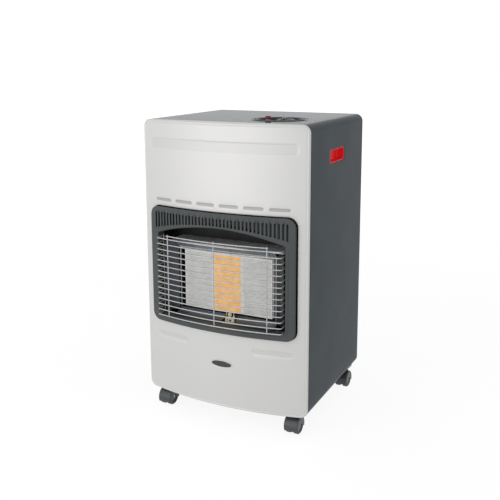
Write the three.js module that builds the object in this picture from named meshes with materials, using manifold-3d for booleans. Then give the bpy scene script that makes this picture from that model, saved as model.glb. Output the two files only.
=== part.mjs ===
// A portable gas cabinet heater: a sheet-steel cabinet on four twin-wheel casters, with a bowed silver
// front, a radiant burner behind a wire guard, and a bottle compartment behind a lift-off rear cover.
// Millimetres, +Z up, the floor at z = 0. The front looks along -Y, and x runs to the right as seen by
// someone facing it. Inside this file y = 0 is the side edge of the front panel; the whole group is moved
// at the end, so that the origin is at the middle of the footprint.
import * as THREE from "three";
import { mergeVertices } from "three/addons/utils/BufferGeometryUtils.js";
import Module from "manifold-3d";

const wasm = await Module();
wasm.setup();

// ---- driving dimensions -------------------------------------------------------------------------------
const WIDTH = 420; // cabinet, across
const DEPTH = 352; // cabinet side, front edge to back edge
const TOP_Z = 712; // top sheet
const BASE_Z = 50; // underside of the cabinet
const CORNER = 18; // radius of the cabinet's four long corners
const BOW = 30; // how far the front panel swells forward in the middle
const SHEET = 1.2; // steel sheet
const GAP = 0.3; // between pieces that touch
const RUN = 0.08; // radial clearance of a turning or sliding fit
const HALF = WIDTH / 2;

const SHELL_Y0 = 5.4; // the wall's front edge, behind a thin shadow gap
const FRONT_FLANGE = { y: 4.3, width: 12 };
const REAR_FLANGE = { y: 344, width: 14 };
const FLOOR_FLANGE = 24; // what is left of the bottom sheet on each side
const LIP_Y = 4; // back of the front panel's lip
const COVER_Y = 345.5; // inner face of the rear cover
const SHIELD = { y: 90, z0: 218, z1: 630, flange: 14, flangeTop: 590 };
const PAN = { half: 188, y0: 8, y1: 340, rim: 16, corner: 6 };

const WINDOW = { half: 186, z0: 232, z1: 512, r: 22 }; // hole in the front panel
const OPENING = { half: 163, z0: 247, r: 12, crown: 477, drop: 28 }; // inner edge of the bezel
const BEZEL_PROUD = 10; // bezel face in front of the panel's face
const SLOT = { count: 38, span: 335, width: 3.6, top: 499, crown: 482, drop: 21 };
const GUARD = { proud: 21, wire: 1.5, count: 15, top: 439, pitch: 13.3, half: 159, post: 127, shortZ: 446.5 };
const GUARD_END = { y: -2, bend: 4, joint: 150 }; // the wires' ends turn back into the window from the joint on
const BAND = { z: 659, w: 376, h: 23 }; // pressed band across the top of the front
const BAR = { x: 131, z: 197, w: 92, h: 13 }; // two pressed bars under the window
const PRESS = 1.2; // how deep the band and the bars are pressed in
const DASH = { count: 6, pitch: 59.4, z: 526, w: 46.5, h: 7 };
const BADGE = { x: 8, z: 156, w: 54, h: 18, proud: 1.8 };

const HOUSING = { half: 180, z0: 236, z1: 504, y0: 3, y1: 68 };
const BURNER = { half: 122, z0: 258, z1: 411, y0: 30.3, y1: 60, wall: 2 };
const PLAQUE = { w: 75.6, z0: 265, z1: 404, y0: 17, thick: 13, pitch: 76.3 };
const MASK = { outer: 127, border: 8, lead: 2 };
const REFLECTOR = { front: -12, back: 14.5, half: 128 };
const HOOD = { z: 425, half: 150, front: 2.5, back: 66.5, foot: 411.2, bend: 412.5 }; // over the plaques
const PILOT = { x: 12, y: 7.4, foot: 241, half: 14, shelfZ: 248, wallY: 12.3 };
const VENTURI = { y: 46, r: 13 };
const INJECTOR_Z = 190;

const GRIP = { y: 168, z: 630, w: 92, h: 30, depth: 18, r: 8 };
const DISH = { x: 90, y: 110, r: 50.5, floorZ: 693.5, wall: 1.5 };
const KNOB = { x: 100, y: 122, r: 24, z0: 701, z1: 716, bar: 5 };
const IGNITER = { x: 77, y: 75, r: 7.8, collar: 8.8, z0: 630 };
const BUTTON = { r: 6.5, top: 722, shoulder: 700, stem: 3.5, low: 678, travel: 7 };
const VALVE = { half: 22, y0: -18, y1: 18, z0: 640, z1: 687.5, inletZ: 654 }; // y about the knob's axis
const ROTOR = { r: 8, z0: 674, z1: 685 };
const SPINDLE = { r: 3.5, z0: 662, z1: 707, bore: 5 };
const BRACKET = { left: -70, right: 52, y0: -22, y1: 22, thick: 1.5, foot: 12 }; // about the knob's axis

const CASTER = { wheelR: 20, wheelW: 12.5, web: 6, axleR: 3, trail: 15, hoodR: 22, plate: 30, stemR: 5 };
const CASTER_PLACES = [
  { tag: "front_left", x: -170, y: 34 },
  { tag: "front_right", x: 170, y: 34 },
  { tag: "rear_left", x: -187, y: 321 },
  { tag: "rear_right", x: 187, y: 321 },
];

// How finely round things are faceted.
const BOW_STEPS = 12;
const ROUND_SIDES = 24;
const DISH_SIDES = 28;
const SMALL_SIDES = 12;

// ---- materials ----------------------------------------------------------------------------------------
const paint = (color, roughness, metalness) => new THREE.MeshStandardMaterial({ color, roughness, metalness });
const LOOK = {
  silver: paint(0xd8d8d6, 0.38, 0.35),
  charcoal: paint(0x4a5053, 0.45, 0.2),
  bezel: paint(0x5e6364, 0.5, 0.1),
  dark: paint(0x33373a, 0.6, 0.3),
  polished: paint(0x9aa3ab, 0.22, 0.95),
  wire: paint(0xcfd2d4, 0.25, 0.95),
  ceramic: paint(0xbcbcb8, 0.9, 0),
  glowing: paint(0xe9bb80, 0.8, 0),
  cream: paint(0xe6dfc8, 0.7, 0),
  red: paint(0xc31f26, 0.4, 0),
  black: paint(0x26282a, 0.5, 0),
  brass: paint(0xb08d57, 0.35, 0.9),
  caster: paint(0x4f5355, 0.55, 0),
  tread: paint(0x3a3c3e, 0.7, 0),
  badge: paint(0x8d9092, 0.3, 0.7),
};

// ---- solids -------------------------------------------------------------------------------------------
const manifold = (vertices, triangles) =>
  new wasm.Manifold(
    new wasm.Mesh({
      numProp: 3,
      vertProperties: new Float32Array(vertices),
      triVerts: new Uint32Array(triangles),
    }),
  );

// A closed geometry as a solid that can be joined and cut.
function solid(geometry) {
  const bare = geometry.clone();
  for (const name of Object.keys(bare.attributes)) {
    if (name !== "position") bare.deleteAttribute(name);
  }
  const merged = mergeVertices(bare, 1e-4);
  return manifold(merged.attributes.position.array, merged.index.array);
}

function geometryOf(body) {
  const mesh = body.getMesh();
  const geometry = new THREE.BufferGeometry();
  geometry.setAttribute("position", new THREE.BufferAttribute(mesh.vertProperties, 3));
  geometry.setIndex(new THREE.BufferAttribute(mesh.triVerts, 1));
  geometry.computeVertexNormals();
  return geometry;
}

const join = (...bodies) => bodies.reduce((a, b) => a.add(b));
const cut = (body, ...tools) => tools.reduce((a, b) => a.subtract(b), body);

const extrude = (shape, depth, curveSegments = 4) =>
  new THREE.ExtrudeGeometry(shape, { depth, bevelEnabled: false, curveSegments });

// A shape drawn in x and z, from y0 to y1.
const upright = (shape, y0, y1, segments) =>
  solid(extrude(shape, y1 - y0, segments).rotateX(Math.PI / 2).translate(0, y1, 0));

// A shape drawn in x and y, from z0 to z1.
const level = (shape, z0, z1, segments) => solid(extrude(shape, z1 - z0, segments).translate(0, 0, z0));

// A shape drawn in y and z, from x0 to x1.
function across(shape, x0, x1, segments) {
  const turn = new THREE.Matrix4().makeBasis(
    new THREE.Vector3(0, 1, 0),
    new THREE.Vector3(0, 0, 1),
    new THREE.Vector3(1, 0, 0),
  );
  return solid(extrude(shape, x1 - x0, segments).applyMatrix4(turn).translate(x0, 0, 0));
}

const block = (x0, x1, y0, y1, z0, z1) =>
  solid(
    new THREE.BoxGeometry(x1 - x0, y1 - y0, z1 - z0).translate((x0 + x1) / 2, (y0 + y1) / 2, (z0 + z1) / 2),
  );

const polygon = (points) => new THREE.Shape(points.map(([u, v]) => new THREE.Vector2(u, v)));

function roundRect(u0, v0, u1, v1, r) {
  const shape = new THREE.Shape();
  shape.moveTo(u0 + r, v0);
  shape.lineTo(u1 - r, v0);
  shape.absarc(u1 - r, v0 + r, r, -Math.PI / 2, 0);
  shape.lineTo(u1, v1 - r);
  shape.absarc(u1 - r, v1 - r, r, 0, Math.PI / 2);
  shape.lineTo(u0 + r, v1);
  shape.absarc(u0 + r, v1 - r, r, Math.PI / 2, Math.PI);
  shape.lineTo(u0, v0 + r);
  shape.absarc(u0 + r, v0 + r, r, Math.PI, Math.PI * 1.5);
  return shape;
}

const roundRectAt = (cu, cv, w, h, r) => roundRect(cu - w / 2, cv - h / 2, cu + w / 2, cv + h / 2, r);
const stadium = (cu, cv, w, h) => roundRectAt(cu, cv, w, h, Math.min(w, h) / 2 - 0.01);

// A solid of revolution about z from a closed profile of [radius, z] points.
const turned = (profile, sides = ROUND_SIDES) =>
  solid(
    new THREE.LatheGeometry(
      [...profile, profile[0]].map(([r, z]) => new THREE.Vector2(r, z)),
      sides,
    ).rotateX(Math.PI / 2),
  );

const post = (r, x, y, z0, z1, sides = ROUND_SIDES) =>
  solid(new THREE.CylinderGeometry(r, r, z1 - z0, sides).rotateX(Math.PI / 2).translate(x, y, (z0 + z1) / 2));

// The radius of a faceted bore that a shaft of radius r turns in.
const boreR = (r, sides = ROUND_SIDES) => (r + RUN) / Math.cos(Math.PI / sides);

// The front panel's face, seen from above: a parabola.
const bowY = (x) => -BOW * (1 - (x / HALF) ** 2);

// Everything between two offsets behind the face of the front panel.
function bowBand(front, back) {
  const reach = HALF + 2;
  const xs = Array.from({ length: BOW_STEPS + 1 }, (_, i) => reach * ((2 * i) / BOW_STEPS - 1));
  const edge = (offset) => xs.map((x) => [x, bowY(x) + offset]);
  return level(polygon([...edge(front), ...edge(back).reverse()]), 0, TOP_Z + BASE_Z);
}

// An upright shape cut out of such a band; the front panel's pieces are all made this way.
const BEFORE = -90; // in front of everything
const bowed = (shape, front, back, stop = LIP_Y, segments = 4) =>
  upright(shape, BEFORE, stop, segments).intersect(bowBand(front, back));

// The cabinet's outline from the front, moved inwards.
const LEAST_CORNER = 4;
const outline = (inset) =>
  roundRect(
    -HALF + inset,
    BASE_Z + inset,
    HALF - inset,
    TOP_Z - inset,
    Math.max(CORNER - inset, LEAST_CORNER),
  );

// ---- the assembly -------------------------------------------------------------------------------------
const heater = new THREE.Group();
heater.name = "gas_cabinet_heater";

// A group whose own origin is at a place in the heater, such as the axis of the knob.
function groupAt(x, y, z = 0) {
  const group = new THREE.Group();
  group.position.set(x, y, z);
  heater.add(group);
  return group;
}

function piece(name, body, material, parent = heater) {
  const mesh = new THREE.Mesh(geometryOf(body), material);
  mesh.name = name;
  parent.add(mesh);
  return mesh;
}

// ---- cabinet ------------------------------------------------------------------------------------------
function gripHole(side, grow, inner, outer) {
  const shape = roundRectAt(GRIP.y, GRIP.z, GRIP.w + 2 * grow, GRIP.h + 2 * grow, GRIP.r + grow);
  return across(shape, Math.min(side * inner, side * outer), Math.max(side * inner, side * outer), 2);
}

function cabinetShell() {
  const overlap = 0.2; // how far the flanges reach into the wall
  const ring = (y0, y1, width) =>
    cut(upright(outline(SHEET - overlap), y0, y1), upright(outline(width), y0 - 1, y1 + 1));
  const tube = cut(upright(outline(0), SHELL_Y0, DEPTH), upright(outline(SHEET), SHELL_Y0 - 1, DEPTH + 1));
  const bead = turned(
    [
      [63.5, -GAP],
      [66.5, -GAP],
      [65.6, 0.8],
      [64.4, 0.8],
    ],
    DISH_SIDES,
  ).translate([DISH.x, DISH.y, TOP_Z]);
  const floorHalf = HALF - FLOOR_FLANGE;
  return cut(
    join(
      tube,
      ring(FRONT_FLANGE.y, SHELL_Y0 + 0.4, FRONT_FLANGE.width),
      ring(REAR_FLANGE.y, REAR_FLANGE.y + SHEET, REAR_FLANGE.width),
      bead,
    ),
    block(-floorHalf, floorHalf, 0, DEPTH + 1, BASE_Z - 1, BASE_Z + CORNER),
    post(DISH.r + DISH.wall + 0.7, DISH.x, DISH.y, TOP_Z - 5, TOP_Z + 2, DISH_SIDES),
    gripHole(1, GAP, HALF - 5, HALF + 5),
    gripHole(-1, GAP, HALF - 5, HALF + 5),
  );
}

// A pressed-in finger grip with a flange behind the side wall.
function gripCup(side) {
  const flange = 5;
  const wall = 1.6;
  const inner = HALF - SHEET - GAP;
  const cup = join(
    gripHole(side, 0, HALF - GRIP.depth - wall, HALF - 0.2),
    gripHole(side, flange, inner - wall, inner),
  );
  return cut(cup, gripHole(side, -wall, HALF - GRIP.depth, HALF + 5));
}

function basePan() {
  const { half, y0, y1, rim, corner } = PAN;
  const z = BASE_Z + SHEET + GAP;
  const depth = y1 - y0;
  const middle = (y0 + y1) / 2;
  const well = roundRectAt(0, middle, 2 * (half - SHEET), depth - 2 * SHEET, corner - SHEET);
  return cut(level(roundRectAt(0, middle, 2 * half, depth, corner), z, z + rim), level(well, z + SHEET, z + rim + 1));
}

function frontPanel() {
  const windowShape = (grow) =>
    roundRect(
      -WINDOW.half - grow,
      WINDOW.z0 - grow,
      WINDOW.half + grow,
      WINDOW.z1 + grow,
      WINDOW.r + grow,
    );
  const deep = BOW + 50;
  const lipDepth = 8;
  const shell = cut(bowed(outline(0), 0, deep), bowed(outline(SHEET), SHEET, deep, LIP_Y - SHEET));
  const lip = bowed(windowShape(SHEET), 0.1, lipDepth, LIP_Y - SHEET);
  const pressed = (grow, front, back) =>
    [
      stadium(0, BAND.z, BAND.w + grow, BAND.h + grow),
      stadium(-BAR.x, BAR.z, BAR.w + grow, BAR.h + grow),
      stadium(BAR.x, BAR.z, BAR.w + grow, BAR.h + grow),
    ].map((shape) => bowed(shape, front, back, LIP_Y, 3));
  const dashes = Array.from({ length: DASH.count }, (_, i) => {
    const x = (i - (DASH.count - 1) / 2) * DASH.pitch;
    return bowed(stadium(x, DASH.z, DASH.w, DASH.h), -1, SHEET / 2, LIP_Y, 2);
  });
  return cut(
    join(shell, lip, ...pressed(2 * SHEET, SHEET / 2, SHEET + PRESS)),
    upright(outline(FRONT_FLANGE.width), 0, LIP_Y + 1),
    upright(windowShape(0), BEFORE, LIP_Y + 1),
    ...pressed(0, -1, PRESS),
    ...dashes,
  );
}

function badgePlate() {
  const oval = new THREE.Shape();
  oval.absellipse(BADGE.x, BADGE.z, BADGE.w / 2, BADGE.h / 2, 0, 2 * Math.PI);
  return bowed(oval, -BADGE.proud, -GAP, 0, 14);
}

// ---- rear cover ---------------------------------------------------------------------------------------
const COVER = {
  inset: SHEET + 0.6,
  rim: 5,
  slotRows: [110, 126, 590, 606],
  slotColumns: [-105, -35, 35, 105],
  slotW: 56,
  slotH: 5,
  pull: { z: 656, w: 100, h: 28, r: 8, depth: 16 },
};

function rearCover() {
  const { inset, rim, pull } = COVER;
  const back = COVER_Y + rim;
  const tray = cut(
    upright(outline(inset), COVER_Y, back),
    upright(outline(inset + SHEET), COVER_Y + SHEET, back + 1),
  );
  const slots = COVER.slotRows.flatMap((z) =>
    COVER.slotColumns.map((x) =>
      block(x - COVER.slotW / 2, x + COVER.slotW / 2, COVER_Y - 1, back, z - COVER.slotH / 2, z + COVER.slotH / 2),
    ),
  );
  const pullShape = (grow) => roundRectAt(0, pull.z, pull.w + 2 * grow, pull.h + 2 * grow, pull.r + grow);
  const bottom = COVER_Y - pull.depth;
  const pocket = cut(
    upright(pullShape(SHEET), bottom, COVER_Y + SHEET),
    upright(pullShape(0), bottom + SHEET, back),
  );
  return join(cut(tray, upright(pullShape(SHEET), COVER_Y - 1, back), ...slots), pocket);
}

const CATCH = { z: 390, height: 24, depth: 9, width: 12, inset: 17 };
function coverCatch(side) {
  const x = side * (HALF - CATCH.inset);
  const y1 = REAR_FLANGE.y - GAP;
  return block(
    x - CATCH.width / 2,
    x + CATCH.width / 2,
    y1 - CATCH.depth,
    y1,
    CATCH.z - CATCH.height / 2,
    CATCH.z + CATCH.height / 2,
  );
}

// ---- window: bezel and wire guard ---------------------------------------------------------------------
// The inner edge of the bezel: a flat sill with round corners under a shallow arch.
function openingShape(grow) {
  const half = OPENING.half + grow;
  const z0 = OPENING.z0 - grow;
  const r = OPENING.r + grow;
  const archSteps = 12;
  const shape = new THREE.Shape();
  shape.moveTo(-half + r, z0);
  shape.lineTo(half - r, z0);
  shape.absarc(half - r, z0 + r, r, -Math.PI / 2, 0);
  for (let i = 0; i <= archSteps; i++) {
    const x = half * (1 - (2 * i) / archSteps);
    shape.lineTo(x, OPENING.crown - OPENING.drop * (x / OPENING.half) ** 2 + grow);
  }
  shape.lineTo(-half, z0 + r);
  shape.absarc(-half + r, z0 + r, r, Math.PI, Math.PI * 1.5);
  return shape;
}

function windowBezel() {
  const face = 2;
  const clear = 0.5;
  const skirt = 10; // how far the rim reaches behind the panel's face
  const chamfer = { width: 4, depth: 1.4 };
  const frame = (inset) =>
    roundRect(
      -WINDOW.half + inset,
      WINDOW.z0 + inset,
      WINDOW.half - inset,
      WINDOW.z1 - inset,
      WINDOW.r - inset,
    );
  const body = bowed(frame(clear), -BEZEL_PROUD, skirt);
  const hollow = bowed(frame(clear + face), -BEZEL_PROUD + face, skirt + 20, LIP_Y + 1);
  const edge = cut(
    bowed(frame(-2), -BEZEL_PROUD - 2, -BEZEL_PROUD + chamfer.depth),
    upright(frame(clear + chamfer.width), BEFORE - 1, LIP_Y + 1),
  );
  const tunnel = bowed(openingShape(face), -BEZEL_PROUD, -BEFORE, 2);
  const slots = Array.from({ length: SLOT.count }, (_, i) => {
    const along = (2 * i) / (SLOT.count - 1) - 1;
    const x = (SLOT.span / 2) * along;
    const bottom = SLOT.crown - SLOT.drop * along ** 2;
    return block(x - SLOT.width / 2, x + SLOT.width / 2, BEFORE, LIP_Y + 1, bottom, SLOT.top);
  });
  return cut(
    join(cut(body, hollow), tunnel),
    edge,
    upright(openingShape(0), BEFORE - 1, LIP_Y + 1),
    join(...slots),
  );
}

// A rod through a list of points, mitred at each of them.
function rodThrough(points, r, sides = 5) {
  const up = new THREE.Vector3(0, 0, 1);
  const rings = points.map((p, i) => {
    const before = points[Math.max(i - 1, 0)];
    const after = points[Math.min(i + 1, points.length - 1)];
    const out = after.clone().sub(before).cross(up).normalize();
    return Array.from({ length: sides }, (_, k) => {
      const a = (2 * Math.PI * k) / sides;
      return p
        .clone()
        .addScaledVector(out, r * Math.cos(a))
        .addScaledVector(up, r * Math.sin(a));
    });
  });
  const triangles = [];
  for (let i = 1; i < rings.length; i++) {
    for (let k = 0; k < sides; k++) {
      const a = (i - 1) * sides + k;
      const b = (i - 1) * sides + ((k + 1) % sides);
      triangles.push(a, b + sides, b, a, a + sides, b + sides);
    }
  }
  const last = (rings.length - 1) * sides;
  for (let k = 2; k < sides; k++) {
    triangles.push(0, k - 1, k, last, last + k, last + k - 1);
  }
  return manifold(
    rings.flat().flatMap((v) => v.toArray()),
    triangles,
  );
}

const wireY = (x) => bowY(x) - GUARD.proud;

// One wire of the guard's face: bowed like the panel.
function guardWire(z, half) {
  const steps = 6;
  const at = (_, i) => {
    const x = half * ((2 * i) / steps - 1);
    return new THREE.Vector3(x, wireY(x), z);
  };
  return rodThrough(Array.from({ length: steps + 1 }, at), GUARD.wire);
}

const guardHeights = Array.from({ length: GUARD.count }, (_, i) => GUARD.top - i * GUARD.pitch);
const guardLow = guardHeights[GUARD.count - 1];
const GUARD_OVER = 3; // the upright stays run past the outer wires

function wireGuard() {
  const { post: postX, shortZ, wire } = GUARD;
  const wires = guardHeights.map((z) => guardWire(z, GUARD_END.joint));
  const stays = [-postX, 0, postX].map((x) =>
    post(wire, x, wireY(x) + 2, guardLow - GUARD_OVER, shortZ + GUARD_OVER, 5),
  );
  return join(...wires, guardWire(shortZ, postX + 4), ...stays);
}

// The wires' ends on one side, turned back into the window and held by an upright rod.
function guardEnd(side) {
  const { half, top, wire } = GUARD;
  const start = GUARD_END.joint + GAP;
  const legs = guardHeights.map((z) => {
    const path = [
      [start, wireY(start)],
      [half - GUARD_END.bend, wireY(half - GUARD_END.bend)],
      [half, wireY(half) + GUARD_END.bend],
      [half, GUARD_END.y],
    ];
    const points = path.map(([x, y]) => new THREE.Vector3(side * x, y, z));
    return rodThrough(side > 0 ? points : points.reverse(), wire);
  });
  const rod = post(wire, side * (half + 1), GUARD_END.y - 1, guardLow + 1, top + GUARD_OVER, 5);
  return join(...legs, rod);
}

// ---- burner -------------------------------------------------------------------------------------------
function burnerHousing() {
  const { half, z0, z1, y0, y1 } = HOUSING;
  return cut(
    block(-half, half, y0, y1, z0, z1),
    block(-half + SHEET, half - SHEET, y0 - 1, y1 - SHEET, z0 + SHEET, z1 - SHEET),
    post(VENTURI.r + 1, 0, VENTURI.y, z0 - 5, z0 + 5, SMALL_SIDES),
  );
}

function burnerBody() {
  const { half, z0, z1, y0, y1, wall } = BURNER;
  return cut(
    block(-half, half, y0, y1, z0, z1),
    block(-half + wall, half - wall, y0 - 1, y1 - wall, z0 + wall, z1 - wall),
    post(VENTURI.r - 2, 0, VENTURI.y, z0 - 5, z0 + 5, SMALL_SIDES),
  );
}

const plaque = (x) =>
  block(x - PLAQUE.w / 2, x + PLAQUE.w / 2, PLAQUE.y0, PLAQUE.y0 + PLAQUE.thick, PLAQUE.z0, PLAQUE.z1);

// The polished frame round the three plaques.
function burnerMask() {
  const front = PLAQUE.y0 - MASK.lead;
  const back = PLAQUE.y0 + PLAQUE.thick;
  const z0 = PLAQUE.z0 - MASK.border;
  const z1 = PLAQUE.z1 + MASK.border;
  const hole = PLAQUE.pitch * 1.5 + 0.4;
  const inner = MASK.outer - SHEET;
  return cut(
    block(-MASK.outer, MASK.outer, front, back, z0, z1),
    block(-inner, inner, front + SHEET, back + 1, z0 + SHEET, z1 - SHEET),
    block(-hole, hole, front - 1, back, PLAQUE.z0 - 1, PLAQUE.z1 + 1),
  );
}

// A strip's section: a shallow arch from one point to another, swelling by sag, thick to its left.
function stripSection([ax, ay], [bx, by], sag, thick) {
  const steps = 6;
  const length = Math.hypot(bx - ax, by - ay);
  const normal = [-(by - ay) / length, (bx - ax) / length];
  const at = (t, offset) => {
    const swell = sag * 4 * t * (1 - t) + offset;
    return [ax + (bx - ax) * t + normal[0] * swell, ay + (by - ay) * t + normal[1] * swell];
  };
  const ts = Array.from({ length: steps + 1 }, (_, i) => i / steps);
  const edge = (offset) => ts.map((t) => at(t, offset));
  return polygon([...edge(0), ...edge(thick).reverse()]);
}

// A folded sheet over the plaques: a leaning strip, then a level shelf back to the housing.
function reflectorUpper() {
  const { z, half, front, back, foot, bend } = HOOD;
  const face = REFLECTOR.back - SHEET;
  const strip = polygon([
    [face, foot],
    [face + SHEET, foot],
    [face + SHEET, bend],
    [front + SHEET, z],
    [front + SHEET, z + SHEET],
    [front, z + SHEET],
    [front, z],
    [face, bend],
  ]);
  return join(
    across(strip, -REFLECTOR.half, REFLECTOR.half),
    block(-half, half, front, back, z, z + SHEET),
  );
}
const reflectorLower = () =>
  cut(
    across(
      stripSection([REFLECTOR.front, OPENING.z0 + 2], [REFLECTOR.back, OPENING.z0 + 9], 2, -SHEET),
      -REFLECTOR.half,
      REFLECTOR.half,
    ),
    block(PILOT.x - PILOT.half - 2, PILOT.x + PILOT.half + 2, -3, 20, OPENING.z0 - 7, OPENING.z0 + 23),
  );
function reflectorSide(side) {
  const near = [side * (REFLECTOR.half + 1), REFLECTOR.back];
  const far = [side * (OPENING.half - 9), REFLECTOR.front + 4];
  return level(stripSection(near, far, side * -4, side * -SHEET), OPENING.z0 + 7, HOOD.z - GAP);
}

// ---- pilot: drawn about its own x ---------------------------------------------------------------------
const PILOT_SIDES = 10;
const PILOT_RODS = {
  thermocouple: { x: -9.5, r: 2 },
  burner: { x: -1, r: 3.2 },
  electrode: { x: 9, r: 2.6 },
};

function pilotBracket() {
  const { half, shelfZ, wallY } = PILOT;
  const floor = HOUSING.z0 + SHEET + GAP;
  const foot = 12;
  const holes = Object.values(PILOT_RODS).map(({ x, r }) =>
    post(r + GAP, x, PILOT.y, shelfZ - 1, shelfZ + 3, PILOT_SIDES),
  );
  return cut(
    join(
      block(-half, half, HOUSING.y0, wallY + SHEET, shelfZ, shelfZ + SHEET),
      block(-half, half, wallY, wallY + SHEET, floor, shelfZ + SHEET),
      block(-half, half, wallY, wallY + foot, floor, floor + SHEET),
    ),
    ...holes,
  );
}

// A rod that stands in the bracket: its foot, then [radius, height over the foot] points to its tip.
const pilotRod = ({ r }, upper) =>
  turned([[0, 0], [r, 0], ...upper, [0, upper.at(-1)[1]]], PILOT_SIDES);
const pilotBurner = (rod) =>
  pilotRod(rod, [
    [rod.r, 17],
    [rod.r + 1.2, 18],
    [rod.r + 1.2, 24],
    [rod.r - 1, 27],
  ]);
const sparkElectrode = (rod) =>
  pilotRod(rod, [
    [rod.r, 19],
    [0.9, 20],
    [0.9, 30],
  ]);
const thermocouple = (rod) =>
  pilotRod(rod, [
    [rod.r, 21],
    [rod.r - 0.8, 28],
  ]);

// ---- gas train ----------------------------------------------------------------------------------------
const venturiTube = () =>
  turned(
    [
      [10, INJECTOR_Z + 14],
      [14, INJECTOR_Z + 14],
      [11, INJECTOR_Z + 32],
      [11, BURNER.z0 - GAP],
      [9, BURNER.z0 - GAP],
      [9, INJECTOR_Z + 32],
      [12, INJECTOR_Z + 14.5],
    ],
    16,
  );
const gasInjector = () =>
  turned(
    [
      [0, 0],
      [7, 0],
      [7, 8],
      [3, 10],
      [3, 16],
      [0, 16],
    ],
    SMALL_SIDES,
  );

// From the valve down the partition's front and up into the injector.
function gasPipe() {
  const r = 4;
  const sides = 8;
  const steps = 32;
  const start = KNOB.x - VALVE.half - GAP;
  const route = new THREE.CatmullRomCurve3(
    [
      [start, KNOB.y, VALVE.inletZ],
      [60, KNOB.y, VALVE.inletZ],
      [40, 118, 646],
      [20, 108, 630],
      [10, 100, 600],
      [8, 98, 550],
      [8, 98, 390],
      [8, 98, 230],
      [6, 96, 195],
      [3, 80, 178],
      [0, 62, 168],
      [0, VENTURI.y + 3, 171],
      [0, VENTURI.y, 180],
      [0, VENTURI.y, INJECTOR_Z - 2 * GAP],
    ].map((p) => new THREE.Vector3(...p)),
  );
  const section = new THREE.Shape();
  section.absarc(0, 0, r, 0, 2 * Math.PI);
  return solid(
    new THREE.ExtrudeGeometry(section, {
      steps,
      bevelEnabled: false,
      curveSegments: sides,
      extrudePath: route,
    }),
  );
}

// The valve, its turning and sliding parts and the knob are drawn about the knob's own axis.
function gasValve() {
  const { half, y0, y1, z0, z1, inletZ } = VALVE;
  const inlet = new THREE.CylinderGeometry(8, 8, 14, SMALL_SIDES).translate(0, y1 + 5, inletZ);
  return cut(
    join(block(-half, half, y0, y1, z0, z1), solid(inlet)),
    post(boreR(ROTOR.r), 0, 0, ROTOR.z0 - GAP, z1 + 1),
    post(SPINDLE.bore, 0, 0, SPINDLE.z0 - 6, z1 + 1),
  );
}
const valveRotor = () =>
  cut(post(ROTOR.r, 0, 0, ROTOR.z0, ROTOR.z1), post(boreR(SPINDLE.r), 0, 0, ROTOR.z0 - 1, ROTOR.z1 + 1));
const valveSpindle = () => post(SPINDLE.r, 0, 0, SPINDLE.z0, SPINDLE.z1);

// The nozzle that the gas hose is pushed on to, three ribs long; it is drawn upright.
function hoseInlet() {
  const core = 4.6;
  const ribs = [14, 21, 28].flatMap((z) => [
    [core, z],
    [6, z + 0.6],
    [core, z + 6],
  ]);
  return turned([[0, 0], [9, 0], [9, 8], [core, 8], ...ribs, [4, 36], [0, 36]], SMALL_SIDES);
}

// The bridge that hangs the valve under the top sheet.
function valveBracket() {
  const { left, right, y0, y1, thick, foot } = BRACKET;
  const z = VALVE.z1 + GAP;
  const under = TOP_Z - SHEET - GAP;
  const leg = (x, out) =>
    join(
      block(x - thick / 2, x + thick / 2, y0, y1, z, under),
      block(Math.min(x, x + out), Math.max(x, x + out), y0, y1, under - thick, under),
    );
  return join(
    cut(block(left, right, y0, y1, z, z + thick), post(SPINDLE.bore, 0, 0, z - 1, z + 3)),
    leg(left, -foot),
    leg(right, foot),
  );
}

// ---- controls on the top ------------------------------------------------------------------------------
// A round well sunk in the top, drawn about its own middle.
function controlDish() {
  const { x, y, r, wall, floorZ } = DISH;
  const flange = 7;
  const fillet = 4;
  const lift = { edge: 1.4, crest: 1.6, inner: 0.8 };
  const hole = (radius, at) => post(radius, at.x - x, at.y - y, floorZ - 1, floorZ + 5);
  const body = turned(
    [
      [0, floorZ],
      [r + wall, floorZ],
      [r + wall, TOP_Z + GAP],
      [r + flange, TOP_Z + GAP],
      [r + flange - 0.6, TOP_Z + lift.edge],
      [r + 1, TOP_Z + lift.crest],
      [r, TOP_Z + lift.inner],
      [r, floorZ + wall + fillet],
      [r - fillet, floorZ + wall],
      [0, floorZ + wall],
    ],
    DISH_SIDES,
  );
  return cut(body, hole(SPINDLE.bore, KNOB), hole(IGNITER.r + 2 * GAP, IGNITER));
}

function controlKnob() {
  const { r, z0, z1, bar } = KNOB;
  const skirt = 5;
  const crown = 4; // the finger bar stands this far over the crown
  const body = turned([
    [0, z0],
    [r, z0],
    [r, z0 + skirt],
    [r - 3, z1 - crown - 1],
    [r - 4, z1 - crown],
    [0, z1 - crown],
  ]);
  const finger = level(stadium(0, 0, 2 * bar, 2 * (r - crown)), z1 - crown - 2, z1);
  return cut(join(body, finger), post(boreR(SPINDLE.r), 0, 0, z0 - 1, SPINDLE.z1 + GAP));
}

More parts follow.
